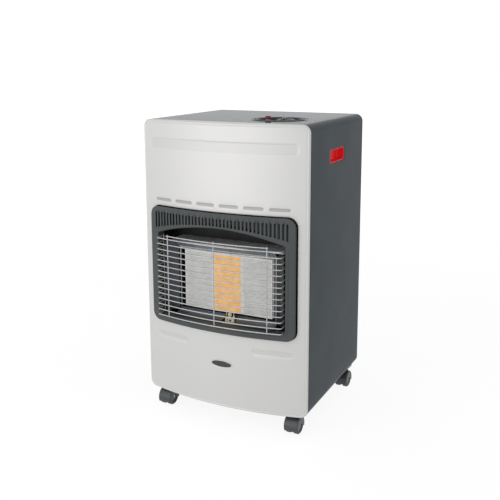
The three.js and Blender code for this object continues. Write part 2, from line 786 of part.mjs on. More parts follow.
// The igniter's push button and its body, drawn about the button's axis.
const BUTTON_SIDES = 20;
const igniterButton = () =>
  turned(
    [
      [0, BUTTON.low],
      [BUTTON.stem, BUTTON.low],
      [BUTTON.stem, BUTTON.shoulder],
      [BUTTON.r, BUTTON.shoulder],
      [BUTTON.r, BUTTON.top - 1.6],
      [BUTTON.r - 1.2, BUTTON.top - 0.4],
      [BUTTON.r - 2.6, BUTTON.top],
      [0, BUTTON.top],
    ],
    BUTTON_SIDES,
  );
function igniterBody() {
  const seat = DISH.floorZ + DISH.wall + GAP;
  const rim = TOP_Z - 2;
  const ledge = BUTTON.shoulder - BUTTON.travel - 1;
  const floor = BUTTON.low - BUTTON.travel - 1;
  return turned(
    [
      [0, IGNITER.z0],
      [IGNITER.r, IGNITER.z0],
      [IGNITER.r, seat],
      [IGNITER.collar, seat],
      [IGNITER.collar, rim],
      [boreR(BUTTON.r, BUTTON_SIDES), rim],
      [boreR(BUTTON.r, BUTTON_SIDES), ledge],
      [boreR(BUTTON.stem, BUTTON_SIDES), ledge],
      [boreR(BUTTON.stem, BUTTON_SIDES), floor],
      [0, floor],
    ],
    BUTTON_SIDES,
  );
}

// The partition between the burner and the gas bottle.
function heatShield() {
  const { y, z0, z1, flange, flangeTop } = SHIELD;
  const half = HALF - SHEET - GAP;
  return join(
    block(-half, half, y - SHEET, y, z0, z1),
    block(-half, -half + SHEET, y - SHEET, y + flange, z0, flangeTop),
    block(half - SHEET, half, y - SHEET, y + flange, z0, flangeTop),
  );
}

// ---- casters: drawn about their own swivel axis, trailing to -Y ---------------------------------------
const WHEEL_SIDES = 20;
const CLEAR = 0.5; // beside and around each wheel

// A drum about the axle; spin turns it, so that a wheel can stand on one of its flats.
const drum = (r, x0, x1, sides, spin = 0) =>
  solid(
    new THREE.CylinderGeometry(r, r, x1 - x0, sides)
      .rotateY(spin)
      .rotateZ(Math.PI / 2)
      .translate((x0 + x1) / 2, -CASTER.trail, CASTER.wheelR),
  );
const PLATE_Z = BASE_Z - GAP;
const PLATE_THICK = 2.5;
const HUB_TOP = PLATE_Z - PLATE_THICK - 0.8;
const STEM_Z = 38;

const casterMount = () =>
  join(
    level(roundRectAt(0, 0, CASTER.plate, CASTER.plate, 4), PLATE_Z - PLATE_THICK, PLATE_Z, 2),
    post(CASTER.stemR, 0, 0, STEM_Z, PLATE_Z - PLATE_THICK + 0.1, 16),
  );

// The hood over both wheels, open below, with a web between them and a hub for the stem.
function casterHood() {
  const { wheelR, wheelW, web, axleR, trail, hoodR, stemR } = CASTER;
  const wall = 1.5;
  const half = web / 2 + wheelW + 2 * CLEAR + wall;
  const below = across(
    polygon([
      [-trail - 30, -5],
      [25, -5],
      [25, 6],
      [-trail + 6, wheelR],
      [-trail - 30, 30],
    ]),
    -half - 1,
    half + 1,
  );
  const pocket = drum((wheelR + CLEAR) / Math.cos(Math.PI / WHEEL_SIDES), 0, wheelW + 2 * CLEAR, WHEEL_SIDES);
  return cut(
    join(
      cut(drum(hoodR, -half, half, WHEEL_SIDES), below),
      drum(wheelR - 8, -web / 2, web / 2, SMALL_SIDES),
      post(stemR + 4, 0, 0, wheelR, HUB_TOP, SMALL_SIDES),
    ),
    pocket.translate([web / 2, 0, 0]),
    pocket.translate([-web / 2 - wheelW - 2 * CLEAR, 0, 0]),
    drum(boreR(axleR, 16), -half - 1, half + 1, 16),
    post(boreR(stemR, 16), 0, 0, STEM_Z - 2 * GAP, PLATE_Z, 16),
  );
}

function casterAxle() {
  const half = CASTER.web / 2 + CASTER.wheelW;
  return drum(CASTER.axleR, -half, half, 16);
}

function casterWheel(side) {
  const { wheelR, wheelW, web, axleR } = CASTER;
  const middle = side * (web / 2 + CLEAR + wheelW / 2);
  const flatToFlat = wheelR / Math.cos(Math.PI / WHEEL_SIDES);
  return cut(
    drum(flatToFlat, middle - wheelW / 2, middle + wheelW / 2, WHEEL_SIDES, Math.PI / WHEEL_SIDES),
    drum(axleR + 0.1, middle - wheelW, middle + wheelW, 16),
  );
}

// ---- put it together ----------------------------------------------------------------------------------
piece("cabinet_shell", cabinetShell(), LOOK.charcoal);
piece("handle_left", gripCup(-1), LOOK.red);
piece("handle_right", gripCup(1), LOOK.red);
piece("base_pan", basePan(), LOOK.dark);
piece("front_panel", frontPanel(), LOOK.silver);
piece("badge_plate", badgePlate(), LOOK.badge);
piece("rear_cover", rearCover(), LOOK.charcoal);
piece("cover_catch_left", coverCatch(-1), LOOK.black);
piece("cover_catch_right", coverCatch(1), LOOK.black);
piece("window_bezel", windowBezel(), LOOK.bezel);
piece("wire_guard", wireGuard(), LOOK.wire);
piece("guard_end_left", guardEnd(-1), LOOK.wire);
piece("guard_end_right", guardEnd(1), LOOK.wire);
piece("heat_shield", heatShield(), LOOK.dark);

piece("burner_housing", burnerHousing(), LOOK.dark);
piece("burner_body", burnerBody(), LOOK.dark);
piece("plaque_left", plaque(-PLAQUE.pitch), LOOK.ceramic);
piece("plaque_centre", plaque(0), LOOK.glowing);
piece("plaque_right", plaque(PLAQUE.pitch), LOOK.ceramic);
piece("burner_mask", burnerMask(), LOOK.polished);
piece("reflector_upper", reflectorUpper(), LOOK.polished);
piece("reflector_lower", reflectorLower(), LOOK.polished);
piece("reflector_left", reflectorSide(-1), LOOK.polished);
piece("reflector_right", reflectorSide(1), LOOK.polished);

const pilot = groupAt(PILOT.x, 0);
piece("pilot_bracket", pilotBracket(), LOOK.polished, pilot);
const pilotPlace = ({ x }) => [x, PILOT.y, PILOT.foot];
piece("pilot_burner", pilotBurner(PILOT_RODS.burner), LOOK.cream, pilot)
  .position.set(...pilotPlace(PILOT_RODS.burner));
piece("spark_electrode", sparkElectrode(PILOT_RODS.electrode), LOOK.cream, pilot)
  .position.set(...pilotPlace(PILOT_RODS.electrode));
piece("thermocouple", thermocouple(PILOT_RODS.thermocouple), LOOK.brass, pilot)
  .position.set(...pilotPlace(PILOT_RODS.thermocouple));

piece("venturi_tube", venturiTube(), LOOK.polished).position.set(0, VENTURI.y, 0);
piece("gas_injector", gasInjector(), LOOK.brass).position.set(0, VENTURI.y, INJECTOR_Z);
piece("gas_pipe", gasPipe(), LOOK.brass);

const valve = groupAt(KNOB.x, KNOB.y);
piece("gas_valve", gasValve(), LOOK.brass, valve);
piece("valve_rotor", valveRotor(), LOOK.brass, valve);
piece("valve_spindle", valveSpindle(), LOOK.polished, valve);
piece("valve_bracket", valveBracket(), LOOK.dark, valve);
piece("control_knob", controlKnob(), LOOK.black, valve);
const inlet = piece("hose_inlet", hoseInlet(), LOOK.brass, valve);
inlet.position.set(0, VALVE.y1 + 12 + GAP, VALVE.inletZ);
inlet.rotation.x = -Math.PI / 2;

piece("control_dish", controlDish(), LOOK.black, groupAt(DISH.x, DISH.y));
const igniter = groupAt(IGNITER.x, IGNITER.y);
piece("igniter_body", igniterBody(), LOOK.black, igniter);
piece("igniter_button", igniterButton(), LOOK.red, igniter);

for (const { tag, x, y } of CASTER_PLACES) {
  const caster = groupAt(x, y);
  piece("caster_mount_" + tag, casterMount(), LOOK.polished, caster);
  piece("caster_hood_" + tag, casterHood(), LOOK.caster, caster);
  piece("caster_axle_" + tag, casterAxle(), LOOK.polished, caster);
  piece("wheel_" + tag + "_left", casterWheel(-1), LOOK.tread, caster);
  piece("wheel_" + tag + "_right", casterWheel(1), LOOK.tread, caster);
}

const FRONTMOST = -BOW - GUARD.proud - GUARD.wire;
heater.position.y = -(FRONTMOST + DEPTH) / 2;

export default heater;
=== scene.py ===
"""The looks of a portable gas cabinet heater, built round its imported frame.

Every surface is worked out in millimetres, with y = 0 at the side edges of the bowed front and the floor
at z = 0, and is moved into the frame, in metres, when its mesh is made.
"""

import math
from functools import cached_property

import bmesh
import bpy
import numpy as np
from bpy.props import FloatProperty, FloatVectorProperty, IntProperty, PointerProperty
from mathutils import Matrix, Quaternion, Vector


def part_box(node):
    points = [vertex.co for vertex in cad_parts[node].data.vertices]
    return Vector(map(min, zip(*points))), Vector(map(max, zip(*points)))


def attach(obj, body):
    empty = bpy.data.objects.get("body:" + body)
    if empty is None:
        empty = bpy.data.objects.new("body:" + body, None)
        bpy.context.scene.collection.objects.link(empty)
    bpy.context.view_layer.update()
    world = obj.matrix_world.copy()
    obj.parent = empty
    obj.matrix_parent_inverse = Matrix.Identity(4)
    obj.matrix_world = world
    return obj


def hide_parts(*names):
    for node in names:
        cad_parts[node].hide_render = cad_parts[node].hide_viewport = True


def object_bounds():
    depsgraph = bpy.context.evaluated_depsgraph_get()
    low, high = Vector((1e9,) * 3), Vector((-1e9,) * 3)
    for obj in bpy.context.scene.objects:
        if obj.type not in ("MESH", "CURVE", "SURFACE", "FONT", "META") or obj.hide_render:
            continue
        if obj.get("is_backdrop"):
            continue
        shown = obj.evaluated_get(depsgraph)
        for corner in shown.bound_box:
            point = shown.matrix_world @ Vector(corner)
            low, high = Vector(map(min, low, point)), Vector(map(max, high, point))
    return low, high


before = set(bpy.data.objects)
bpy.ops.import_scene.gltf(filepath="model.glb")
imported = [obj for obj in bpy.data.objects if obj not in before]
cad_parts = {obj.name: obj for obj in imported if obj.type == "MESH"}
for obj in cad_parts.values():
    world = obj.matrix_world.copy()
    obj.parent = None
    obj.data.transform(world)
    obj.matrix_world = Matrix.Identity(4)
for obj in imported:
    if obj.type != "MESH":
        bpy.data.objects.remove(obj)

bl_info = {
    "name": "Gas Cabinet Heater Looks",
    "version": (1, 0, 0),
    "blender": (4, 5, 0),
    "location": "3D Viewport > Sidebar > Heater",
    "description": "Builds the surfaces, finishes and stage of a gas cabinet heater round its frame",
    "category": "Add Mesh",
}

MM = 0.001
PREFIX = "heater_"  # of the materials' names, which keeps them apart from the frame's own
CAD_BOX = [list(corner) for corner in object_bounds()]

# The cabinet's main sizes, as the frame has them.
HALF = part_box("cabinet_shell")[1].x / MM
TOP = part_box("front_panel")[1].z / MM
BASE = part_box("front_panel")[0].z / MM
DEPTH = 352.0
Y_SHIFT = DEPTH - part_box("cabinet_shell")[1].y / MM
BOW = 30.0
CORNER = 18.0  # radius of the outline's four corners
SHEET = 1.2


# ---- outlines and grids -------------------------------------------------------------------------------
def bow(x):
    """How far the front stands forward at x: a parabola, 0 at both sides and BOW in the middle."""
    return -BOW * (1 - (x / HALF) ** 2)


def on_front(points, offset=0.0):
    """Points of x and z laid on the bowed front, moved back by an offset."""
    x, z = points[..., 0], points[..., 1]
    return np.stack([x, bow(x) + offset, z], -1)


def across_y(points, y):
    """Points of x and z laid in a plane square to y."""
    return np.stack([points[..., 0], np.broadcast_to(y, points.shape[:-1]), points[..., 1]], -1)


def across_x(points, x):
    """Points of y and z laid in a plane square to x."""
    return np.stack([np.broadcast_to(x, points.shape[:-1]), points[..., 0], points[..., 1]], -1)


def lines(low, high, step, fine=(), at=()):
    """Grid lines about a step apart, closer over each (start, end, step) of fine, and some given ones. A
    line that comes too near to a finer stretch or to a given line is left out."""
    share, gap = 0.7, 0.45  # of the finer step, and in millimetres
    found = np.linspace(low, high, int(round((high - low) / step)) + 1)
    for start, end, pitch in fine:
        found = found[(found < start - pitch * share) | (found > end + pitch * share)]
        found = np.append(found, np.linspace(start, end, int(round((end - start) / pitch)) + 1))
    for value in at:
        found = found[np.abs(found - value) > gap]
        found = np.append(found, value)
    return np.unique(found)


def corner_fans(low, high, radius, count):
    """Grid lines for round corners at both ends of a span: the tangents of even angles, so that the rays
    from a corner's centre through them are evenly spread."""
    fan = radius * np.tan(np.linspace(0, np.pi / 4, count))
    return [*(high - radius + fan), *(low + radius - fan)]


def border(us, vs):
    """The points round a rectangle of grid lines, anticlockwise from its lowest corner."""
    side = lambda u, v: np.stack(np.broadcast_arrays(u, v), -1)
    return np.concatenate(
        [side(us[:-1], vs[0]), side(us[-1], vs[:-1]), side(us[:0:-1], vs[-1]), side(us[0], vs[:0:-1])]
    )


def gap_border(us, vs, box):
    """The points round the cells that a grid leaves out, from the grid's own lines."""
    return border(us[(us >= box[0]) & (us <= box[2])], vs[(vs >= box[1]) & (vs <= box[3])])


def outside(us, vs, box):
    """The cells of a grid whose middles lie outside a rectangle."""
    u, v = ((a[:-1] + a[1:]) / 2 for a in (us, vs))
    return ~(((u > box[0]) & (u < box[2]))[:, None] & (v > box[1]) & (v < box[3]))


def grown(box, by):
    """A rectangle with each side moved out."""
    return np.array(box) + np.array([-1, -1, 1, 1]) * by


def unit(vectors):
    """Vectors of length 1."""
    return vectors / np.linalg.norm(vectors, axis=-1, keepdims=True)


def rounded(points, box, radius, inset=0.0):
    """Carries points to a round-cornered rectangle, straight on its sides and from the arc's centre in
    its corners; the outline may be moved in."""
    centre = np.clip(points, np.array(box[:2]) + radius, np.array(box[2:]) - radius)
    return centre + (radius - inset) * unit(points - centre)


def angles(count):
    """Even steps round a circle."""
    return np.arange(count) * 2 * np.pi / count


def arc(centre, radius, start, end, steps):
    """Points on a circle, from one angle in degrees to another."""
    a = np.radians(np.linspace(start, end, steps + 1))
    return np.stack([centre[0] + radius * np.cos(a), centre[1] + radius * np.sin(a)], -1)


def rounded_loop(box, radius, per_corner=8):
    """The points round a round-cornered rectangle, anticlockwise: four quarter circles."""
    low, high = np.array(box[:2]) + radius, np.array(box[2:]) - radius
    centres = [(high[0], low[1]), (high[0], high[1]), (low[0], high[1]), (low[0], low[1])]
    starts = (-90, 0, 90, 180)
    return np.concatenate([arc(c, radius, a, a + 90, per_corner) for c, a in zip(centres, starts)])


def quarter(radius, steps, start=90):
    """The inset and the depth of points down a rounded edge, from the face to the side."""
    a = np.radians(np.linspace(start, 0, steps + 1))
    return list(zip(radius * (1 - np.cos(a)), radius * (1 - np.sin(a))))


def filleted(points, radius, steps=4):
    """A polyline with its corners eased: each corner becomes a short parabola between its two sides."""
    points = np.asarray(points, float)
    weight = np.linspace(0, 1, steps + 1)[:, None]
    found = []
    for i, r in enumerate(np.broadcast_to(radius, len(points))):
        corner = points[i]
        if r == 0 or i in (0, len(points) - 1):
            found.append(corner[None])
            continue
        before, after = points[i - 1] - corner, points[i + 1] - corner
        reach = [np.linalg.norm(before), np.linalg.norm(after)]
        cosine = np.clip(before @ after / (reach[0] * reach[1]), -1, 1)
        back = min(r / math.tan(max(math.acos(cosine) / 2, 0.05)), 0.47 * min(reach))
        start, end = before / reach[0] * back, after / reach[1] * back
        found.append(corner + (1 - weight) ** 2 * start + weight**2 * end)
    return np.concatenate(found)


def stadium(x, z, cx, cz, width, height, soft):
    """1 inside a stadium and 0 outside it, eased across its edge; from the distance to its middle line."""
    gone = np.hypot(np.maximum(np.abs(x - cx) - (width - height) / 2, 0), z - cz) - height / 2
    share = np.clip(0.5 - gone / soft, 0, 1)
    return share * share * (3 - 2 * share)


def sheet_section(points, thick):
    """The closed outline of a thin sheet, from the polyline of its middle: half the thickness to both
    sides, square to the line."""
    points = np.asarray(points, float)
    along = unit(np.gradient(points, axis=0))
    normal = np.stack([-along[:, 1], along[:, 0]], -1)
    return np.concatenate([points + normal * thick / 2, (points - normal * thick / 2)[::-1]])


def tube_points(path, radius, up, sides=12):
    """Rings round a path, square to it, whose radius closes to nothing in a round cap at both ends."""
    path = np.asarray(path, float)
    along = unit(np.gradient(path, axis=0))
    cap = np.array([0.0, 0.5, 0.85, 1.0])
    sunk = radius * (1 - np.sqrt(1 - cap**2))[:, None]
    middles = np.concatenate([path[0] + along[0] * sunk, path[1:-1], path[-1] - along[-1] * sunk[::-1]])
    scale = radius * np.concatenate([cap, np.ones(len(path) - 2), cap[::-1]])
    ends = [len(cap), *[1] * (len(path) - 2), len(cap)]
    aim = np.repeat(along, ends, axis=0)
    side = unit(np.cross(aim, up))
    other = np.cross(side, aim)
    a = angles(sides)[:, None]
    ring = side[:, None] * np.cos(a) + other[:, None] * np.sin(a)
    return middles[:, None] + ring * scale[:, None, None]


# ---- meshes -------------------------------------------------------------------------------------------
def linked(name, data):
    """A new object in the scene."""
    made = bpy.data.objects.new(name, data)
    bpy.context.scene.collection.objects.link(made)
    return made


def in_frame(point):
    """A point in millimetres, moved into the frame."""
    return Vector((point[0], point[1] - Y_SHIFT, point[2])) * MM


class Surface:
    """Gathers patches, each a grid of points, and makes one mesh of them."""

    def __init__(self, name):
        self.name = name
        self.points, self.quads, self.slots, self.values = [], [], [], []
        self.total = 0

    def patch(self, points, wrap_rows=False, wrap=False, keep=None, slot=0, value=0.0):
        """Adds grids [..., row, column, xyz]. The last row may be joined to the first, and with wrap the
        last column; keep is a mask of the cells that are wanted; value goes to the attribute press."""
        points = np.asarray(points, float)
        shape = points.shape[:-1]
        index = self.total + np.arange(math.prod(shape)).reshape(shape)
        if wrap_rows:
            index = np.concatenate([index, index[..., :1, :]], -2)
        if wrap:
            index = np.concatenate([index, index[..., :1]], -1)
        corners = [index[..., :-1, :-1], index[..., 1:, :-1], index[..., 1:, 1:], index[..., :-1, 1:]]
        quads = np.stack(corners, -1)
        quads = quads[keep] if keep is not None else quads.reshape(-1, 4)
        self.points.append(points.reshape(-1, 3))
        self.quads.append(quads)
        self.slots.append(np.full(len(quads), slot))
        self.values.append(np.broadcast_to(value, shape).ravel())
        self.total += math.prod(shape)

    def turned(self, profile, centre, axis="z", sides=48, slot=0, closed=False):
        """Carries a profile of [radius, height] points round an axis through centre: the radius times the
        cosine and the sine of each angle."""
        profile = np.asarray(profile, float)
        a = angles(sides)
        across = profile[:, :1] * np.cos(a), profile[:, :1] * np.sin(a)
        along = np.broadcast_to(profile[:, 1:], across[0].shape)
        order = {"z": (*across, along), "x": (along, *across), "y": (across[1], along, across[0])}
        points = np.stack(order[axis], -1) + np.asarray(centre, float)
        self.patch(points, wrap=True, wrap_rows=closed, slot=slot)

    def folded(self, line, thick, low, high, axis="x", value=0.0):
        """A thin sheet whose section is carried straight along x or z, between two places."""
        section = sheet_section(line, thick)
        a, b, along = np.broadcast_arrays(section[:, 0], section[:, 1], np.linspace(low, high, 3)[:, None])
        self.patch(np.stack([along, a, b] if axis == "x" else [a, b, along], -1), wrap=True, value=value)

    def rod(self, path, radius, up):
        """A round wire along a path."""
        self.patch(tube_points(path, radius, up), wrap=True)

    def mesh(self):
        """The patches as one mesh, in the frame."""
        points = (np.concatenate(self.points) - [0, Y_SHIFT, 0]) * MM
        quads = np.concatenate(self.quads)
        mesh = bpy.data.meshes.new(self.name)
        mesh.vertices.add(len(points))
        mesh.vertices.foreach_set("co", points.ravel())
        mesh.loops.add(quads.size)
        mesh.loops.foreach_set("vertex_index", quads.ravel())
        mesh.polygons.add(len(quads))
        mesh.polygons.foreach_set("loop_start", np.arange(0, quads.size, 4))
        mesh.polygons.foreach_set("material_index", np.concatenate(self.slots))
        # darkening holds painted shade in the front's pressed forms and the plaques' holes, and the lower
        # reflector's darker front edge.
        darkening = mesh.attributes.new("darkening", "FLOAT", "POINT")
        darkening.data.foreach_set("value", np.concatenate(self.values))
        mesh.update(calc_edges=True)
        return mesh

    def close(self, mesh, sheet, inside):
        """Merges doubles, closes open ends and turns the faces outwards. A sheet stays open, and its faces
        turn away from a point inside."""
        work = bmesh.new()
        work.from_mesh(mesh)
        bmesh.ops.remove_doubles(work, verts=work.verts, dist=2e-6)
        bmesh.ops.dissolve_degenerate(work, edges=work.edges, dist=1e-7)
        if not sheet:
            bmesh.ops.holes_fill(work, edges=[e for e in work.edges if e.is_boundary], sides=0)
        bmesh.ops.recalc_face_normals(work, faces=work.faces)
        if inside is not None:
            middle = in_frame(inside)
            lean = sum((f.calc_center_median() - middle).dot(f.normal) * f.calc_area() for f in work.faces)
            if lean < 0:
                bmesh.ops.reverse_faces(work, faces=work.faces)
        work.to_mesh(mesh)
        work.free()

    def make(self, body, nodes, slot, looks=None, crease=34, sheet=0.0, inside=None):
        """Makes the object, parents it to the body that it rides on and hides the nodes that it stands for.
        Its finishes have the slot's name unless looks are given. A sheet gets a wall of its thickness."""
        mesh = self.mesh()
        self.close(mesh, sheet, inside)
        mesh.shade_smooth()
        mesh.set_sharp_from_angle(angle=math.radians(crease))
        for look in looks or [slot]:
            mesh.materials.append(finish(look))
        piece = linked(self.name, mesh)
        if sheet:
            wall = piece.modifiers.new("wall", "SOLIDIFY")
            wall.thickness = sheet * MM
            wall.offset = -1
            wall.use_even_offset = True
        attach(piece, body)
        if nodes:
            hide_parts(*nodes)


# ---- shader maths -------------------------------------------------------------------------------------
class Number:
    """A number socket; Python arithmetic on it adds Math nodes."""

    def __init__(self, nodes, socket):
        self.nodes, self.socket = nodes, socket

    def maths(self, operation, *values):
        node = self.nodes.add("ShaderNodeMath", {"operation": operation}, values)
        return Number(self.nodes, node.outputs[0])

    def __add__(self, other):
        return self.maths("ADD", self, other)

    def __sub__(self, other):
        return self.maths("SUBTRACT", self, other)

    def __rsub__(self, other):
        return self.maths("SUBTRACT", other, self)

    def __mul__(self, other):
        return self.maths("MULTIPLY", self, other)

    def __lt__(self, other):
        return self.maths("LESS_THAN", self, other)

    def __gt__(self, other):
        return self.maths("GREATER_THAN", self, other)

    __radd__ = __add__
    __rmul__ = __mul__

    def size(self):
        return self.maths("ABSOLUTE", self)

    def most(self, other):
        return self.maths("MAXIMUM", self, other)

    def ease(self, low, high):
        """0 below low and 1 over high, smooth between them."""
        settings = {"interpolation_type": "SMOOTHSTEP"}
        values = {"Value": self, "From Min": low, "From Max": high}
        return Number(self.nodes, self.nodes.add("ShaderNodeMapRange", settings, values).outputs[0])


class Nodes:
    """The node tree of a material or of the world."""

    def __init__(self, owner):
        owner.use_nodes = True
        self.tree = owner.node_tree
        self.tree.nodes.clear()

    def add(self, kind, settings=None, values=()):
        """One node: its settings first, then the values or links of its sockets, by place or by name."""
        node = self.tree.nodes.new(kind)
        for key, value in (settings or {}).items():
            setattr(node, key, value)
        for key, value in values.items() if isinstance(values, dict) else enumerate(values):
            if isinstance(value, Number):
                value = value.socket
            if isinstance(value, bpy.types.NodeSocket):
                self.tree.links.new(value, node.inputs[key])
            else:
                node.inputs[key].default_value = value
        return node

    @cached_property
    def where(self):
        """Object coordinates, from one node that all patterns share."""
        return self.add("ShaderNodeTexCoord").outputs["Object"]

    def parts(self):
        """The three numbers of the object coordinates."""
        return [Number(self, out) for out in self.add("ShaderNodeSeparateXYZ", None, [self.where]).outputs]

    def noise(self, scale, detail=2.0, rough=0.5, vector=None):
        values = {"Vector": vector or self.where, "Scale": scale, "Detail": detail, "Roughness": rough}
        return Number(self, self.add("ShaderNodeTexNoise", None, values).outputs[0])

    def drawn(self, scales, detail=2.0, rough=0.6):
        """Fine lines: noise that is stretched along the axis with the lowest scale."""
        stretched = self.add("ShaderNodeMapping", None, {"Vector": self.where, "Scale": scales})
        return self.noise(1.0, detail, rough, stretched.outputs[0])

    def cells(self, scale):
        values = {"Vector": self.where, "Scale": scale}
        return Number(self, self.add("ShaderNodeTexVoronoi", None, values).outputs[0])

    def attribute(self, name):
        return Number(self, self.add("ShaderNodeAttribute", {"attribute_name": name}).outputs["Fac"])

    def mix(self, share, first, second):
        """One colour shading into another."""
        colour = lambda c: c if isinstance(c, bpy.types.NodeSocket) else (*c, 1.0)
        values = {0: share, 6: colour(first), 7: colour(second)}
        return self.add("ShaderNodeMix", {"data_type": "RGBA"}, values).outputs[2]

    def tones(self, share, colour, first, second):
        """One colour shading from one factor of its tone to another."""
        return self.mix(share, tint(colour, first), tint(colour, second))

    def bump(self, height, depth):
        """A Bump node: the height is a share of the depth, which is in metres."""
        return self.add("ShaderNodeBump", None, {"Height": height, "Distance": depth}).outputs[0]

    def close(self, **sockets):
        """The Principled shader, its sockets named with underscores for spaces, and the output."""
        whole = lambda value: (*value, 1.0) if isinstance(value, tuple) else value
        values = {key.replace("_", " "): whole(value) for key, value in sockets.items()}
        shader = self.add("ShaderNodeBsdfPrincipled", None, values)
        self.add("ShaderNodeOutputMaterial", None, [shader.outputs[0]])


def tint(colour, factor):
    """A colour made darker or lighter by a factor."""
    return tuple(min(c * factor, 1.0) for c in colour)


MAKERS = {}


def maker(function):
    MAKERS[function.__name__] = function
    return function


def finish(name):
    """A finish by its name, made the first time that it is asked for."""
    made = bpy.data.materials.get(PREFIX + name)
    if made is None:
        made = bpy.data.materials.new(PREFIX + name)
        MAKERS[name](Nodes(made), bpy.context.scene.heater_colours)
    return made


def coat(name, *nodes):
    """Gives CAD nodes that keep their own shape a finish."""
    for node in nodes:
        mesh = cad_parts[node].data
        mesh.materials.clear()
        mesh.materials.append(finish(name))


# ---- finishes: paint and enamel -----------------------------------------------------------------------
@maker
def charcoal_paint(f, look):
    """Powder coat: a fine orange peel, a faint cloud in the tone, and a satin gloss that varies."""
    cloud = f.noise(9.0, 3.0)
    peel = f.noise(900.0, 2.0, 0.6) + 0.5 * f.noise(260.0, 1.0)
    speck = f.noise(4200.0, 1.0)
    base = f.tones(cloud.ease(0.3, 0.7), look.charcoal, 0.93, 1.07)
    base = f.mix(speck.ease(0.62, 0.8) * 0.25, base, tint(look.charcoal, 1.6))
    gloss = 0.15 + 0.04 * cloud + 0.03 * speck
    sheen = (0.9, 0.94, 1.0)
    f.close(Base_Color=base, Roughness=gloss, IOR=1.085, Specular_Tint=sheen, Normal=f.bump(peel, 0.000015))


@maker
def silver_paint(f, look):
    """Silver lacquer: fine flakes that vary in tone and gloss, and painted shade where the sheet is pressed
    in.
    """
    flakes = f.cells(3600.0)
    cloud = f.noise(7.0, 2.0)
    peel = f.noise(420.0, 2.0)
    base = f.tones(flakes.ease(0.1, 0.9), look.silver, 1.03, 0.96)
    base = f.mix(cloud.ease(0.3, 0.7) * 0.5, base, tint(look.silver, 0.975))
    # Painted shade: darker paint in the dashes, the band and the bars.
    base = f.mix(f.attribute("darkening"), base, tint(look.silver, 0.62))
    gloss = 0.4 + 0.06 * flakes + 0.03 * cloud
    f.close(Base_Color=base, Metallic=0.3, Roughness=gloss, IOR=1.45, Normal=f.bump(peel, 0.00002))


@maker
def grey_bezel(f, look):
    """Satin enamel on the window frame: a soft peel, lighter and duller in patches."""
    cloud = f.noise(14.0, 3.0)
    peel = f.noise(700.0, 2.0)
    base = f.tones(cloud.ease(0.35, 0.65), look.bezel, 0.94, 1.06)
    f.close(Base_Color=base, Roughness=0.5 + 0.1 * cloud, IOR=1.3, Normal=f.bump(peel, 0.00004))


@maker
def dark_steel(f, look):
    """Heat-proof black paint: dull, mottled, with a dusty bloom."""
    mottle = f.noise(35.0, 4.0, 0.6)
    grain = f.noise(1500.0, 2.0)
    base = f.mix(mottle.ease(0.3, 0.7), (0.012, 0.012, 0.012), (0.03, 0.03, 0.031))
    base = f.mix(grain.ease(0.6, 0.8) * 0.3, base, (0.06, 0.058, 0.055))
    f.close(Base_Color=base, Metallic=0.2, Roughness=0.55 + 0.2 * mottle, Normal=f.bump(grain, 0.00005))


@maker
def shelf_paint(f, look):
    """Pale smooth paint on the shelf over the plaques, with faint lines along it."""
    mottle = f.noise(28.0, 3.0)
    brushed = f.drawn((60.0, 1800.0, 1800.0))
    base = f.mix(mottle.ease(0.3, 0.7), (0.84, 0.85, 0.86), (0.92, 0.925, 0.93))
    f.close(Base_Color=base, Metallic=0.2, Roughness=0.42 + 0.12 * mottle, Normal=f.bump(brushed, 0.00002))


@maker
def badge_enamel(f, look):
    """Black enamel under a clear coat."""
    flow = f.noise(240.0, 2.0)
    base = f.mix(flow.ease(0.3, 0.7), (0.008, 0.008, 0.008), (0.014, 0.014, 0.014))
    bump = f.bump(flow, 0.00002)
    f.close(Base_Color=base, Roughness=0.3, Coat_Weight=0.6, Coat_Roughness=0.12, Normal=bump)


@maker
def white_print(f, look):
    """Screen-printed white marks, thin in places."""
    thin = f.noise(1400.0, 3.0).ease(0.3, 0.55)
    f.close(Base_Color=f.mix(thin, (0.55, 0.55, 0.54), (0.82, 0.82, 0.8)), Roughness=0.6)


# ---- finishes: metal ----------------------------------------------------------------------------------
@maker
def bright_wire(f, look):
    """Bright plate: drawn lines along the wire and a slight haze."""
    haze = f.noise(120.0, 3.0)
    line = f.drawn((200.0, 2200.0, 2200.0))
    base = f.tones(haze.ease(0.3, 0.75), look.wire, 1.0, 0.82)
    f.close(Base_Color=base, Metallic=0.45, Roughness=0.3 + 0.14 * haze, Normal=f.bump(line, 0.000012))


@maker
def polished_steel(f, look):
    """Polished sheet: brushed along its length, with a faint heat tint in patches."""
    brushed = f.drawn((40.0, 1600.0, 1600.0), 3.0)
    stain = f.noise(22.0, 3.0).ease(0.35, 0.7)
    warm = tuple(c * fade for c, fade in zip(look.steel, (0.95, 0.85, 0.75)))
    base = f.mix(stain, look.steel, warm)
    f.close(Base_Color=base, Metallic=0.9, Roughness=0.2 + 0.14 * brushed, Normal=f.bump(brushed, 0.000012))


@maker
def soft_steel(f, look):
    """Aluminised sheet over and under the plaques: rolled along its length, stained in patches, and much
    darker where a piece gives it darkening.
    """
    rolled = f.drawn((50.0, 1500.0, 1500.0), 3.0)
    stain = f.noise(22.0, 3.0).ease(0.35, 0.7)
    base = f.tones(stain, look.soft_steel, 1.0, 0.82)
    base = f.mix(f.attribute("darkening"), base, tint(look.soft_steel, 0.16))
    f.close(Base_Color=base, Metallic=0.7, Roughness=0.4 + 0.14 * rolled, Normal=f.bump(rolled, 0.000015))


@maker
def dim_steel(f, look):
    """Reflector sheet in a dark tone that paints the shade at the window's sides: brushed upright, dull
    where the heat has stained it.
    """
    brushed = f.drawn((1600.0, 1600.0, 40.0), 3.0)
    stain = f.noise(26.0, 3.0).ease(0.35, 0.7)
    base = f.tones(stain, look.dim_steel, 1.0, 0.75)
    gloss = 0.24 + 0.16 * brushed
    f.close(Base_Color=base, Metallic=0.85, Roughness=gloss, Normal=f.bump(brushed, 0.000012))


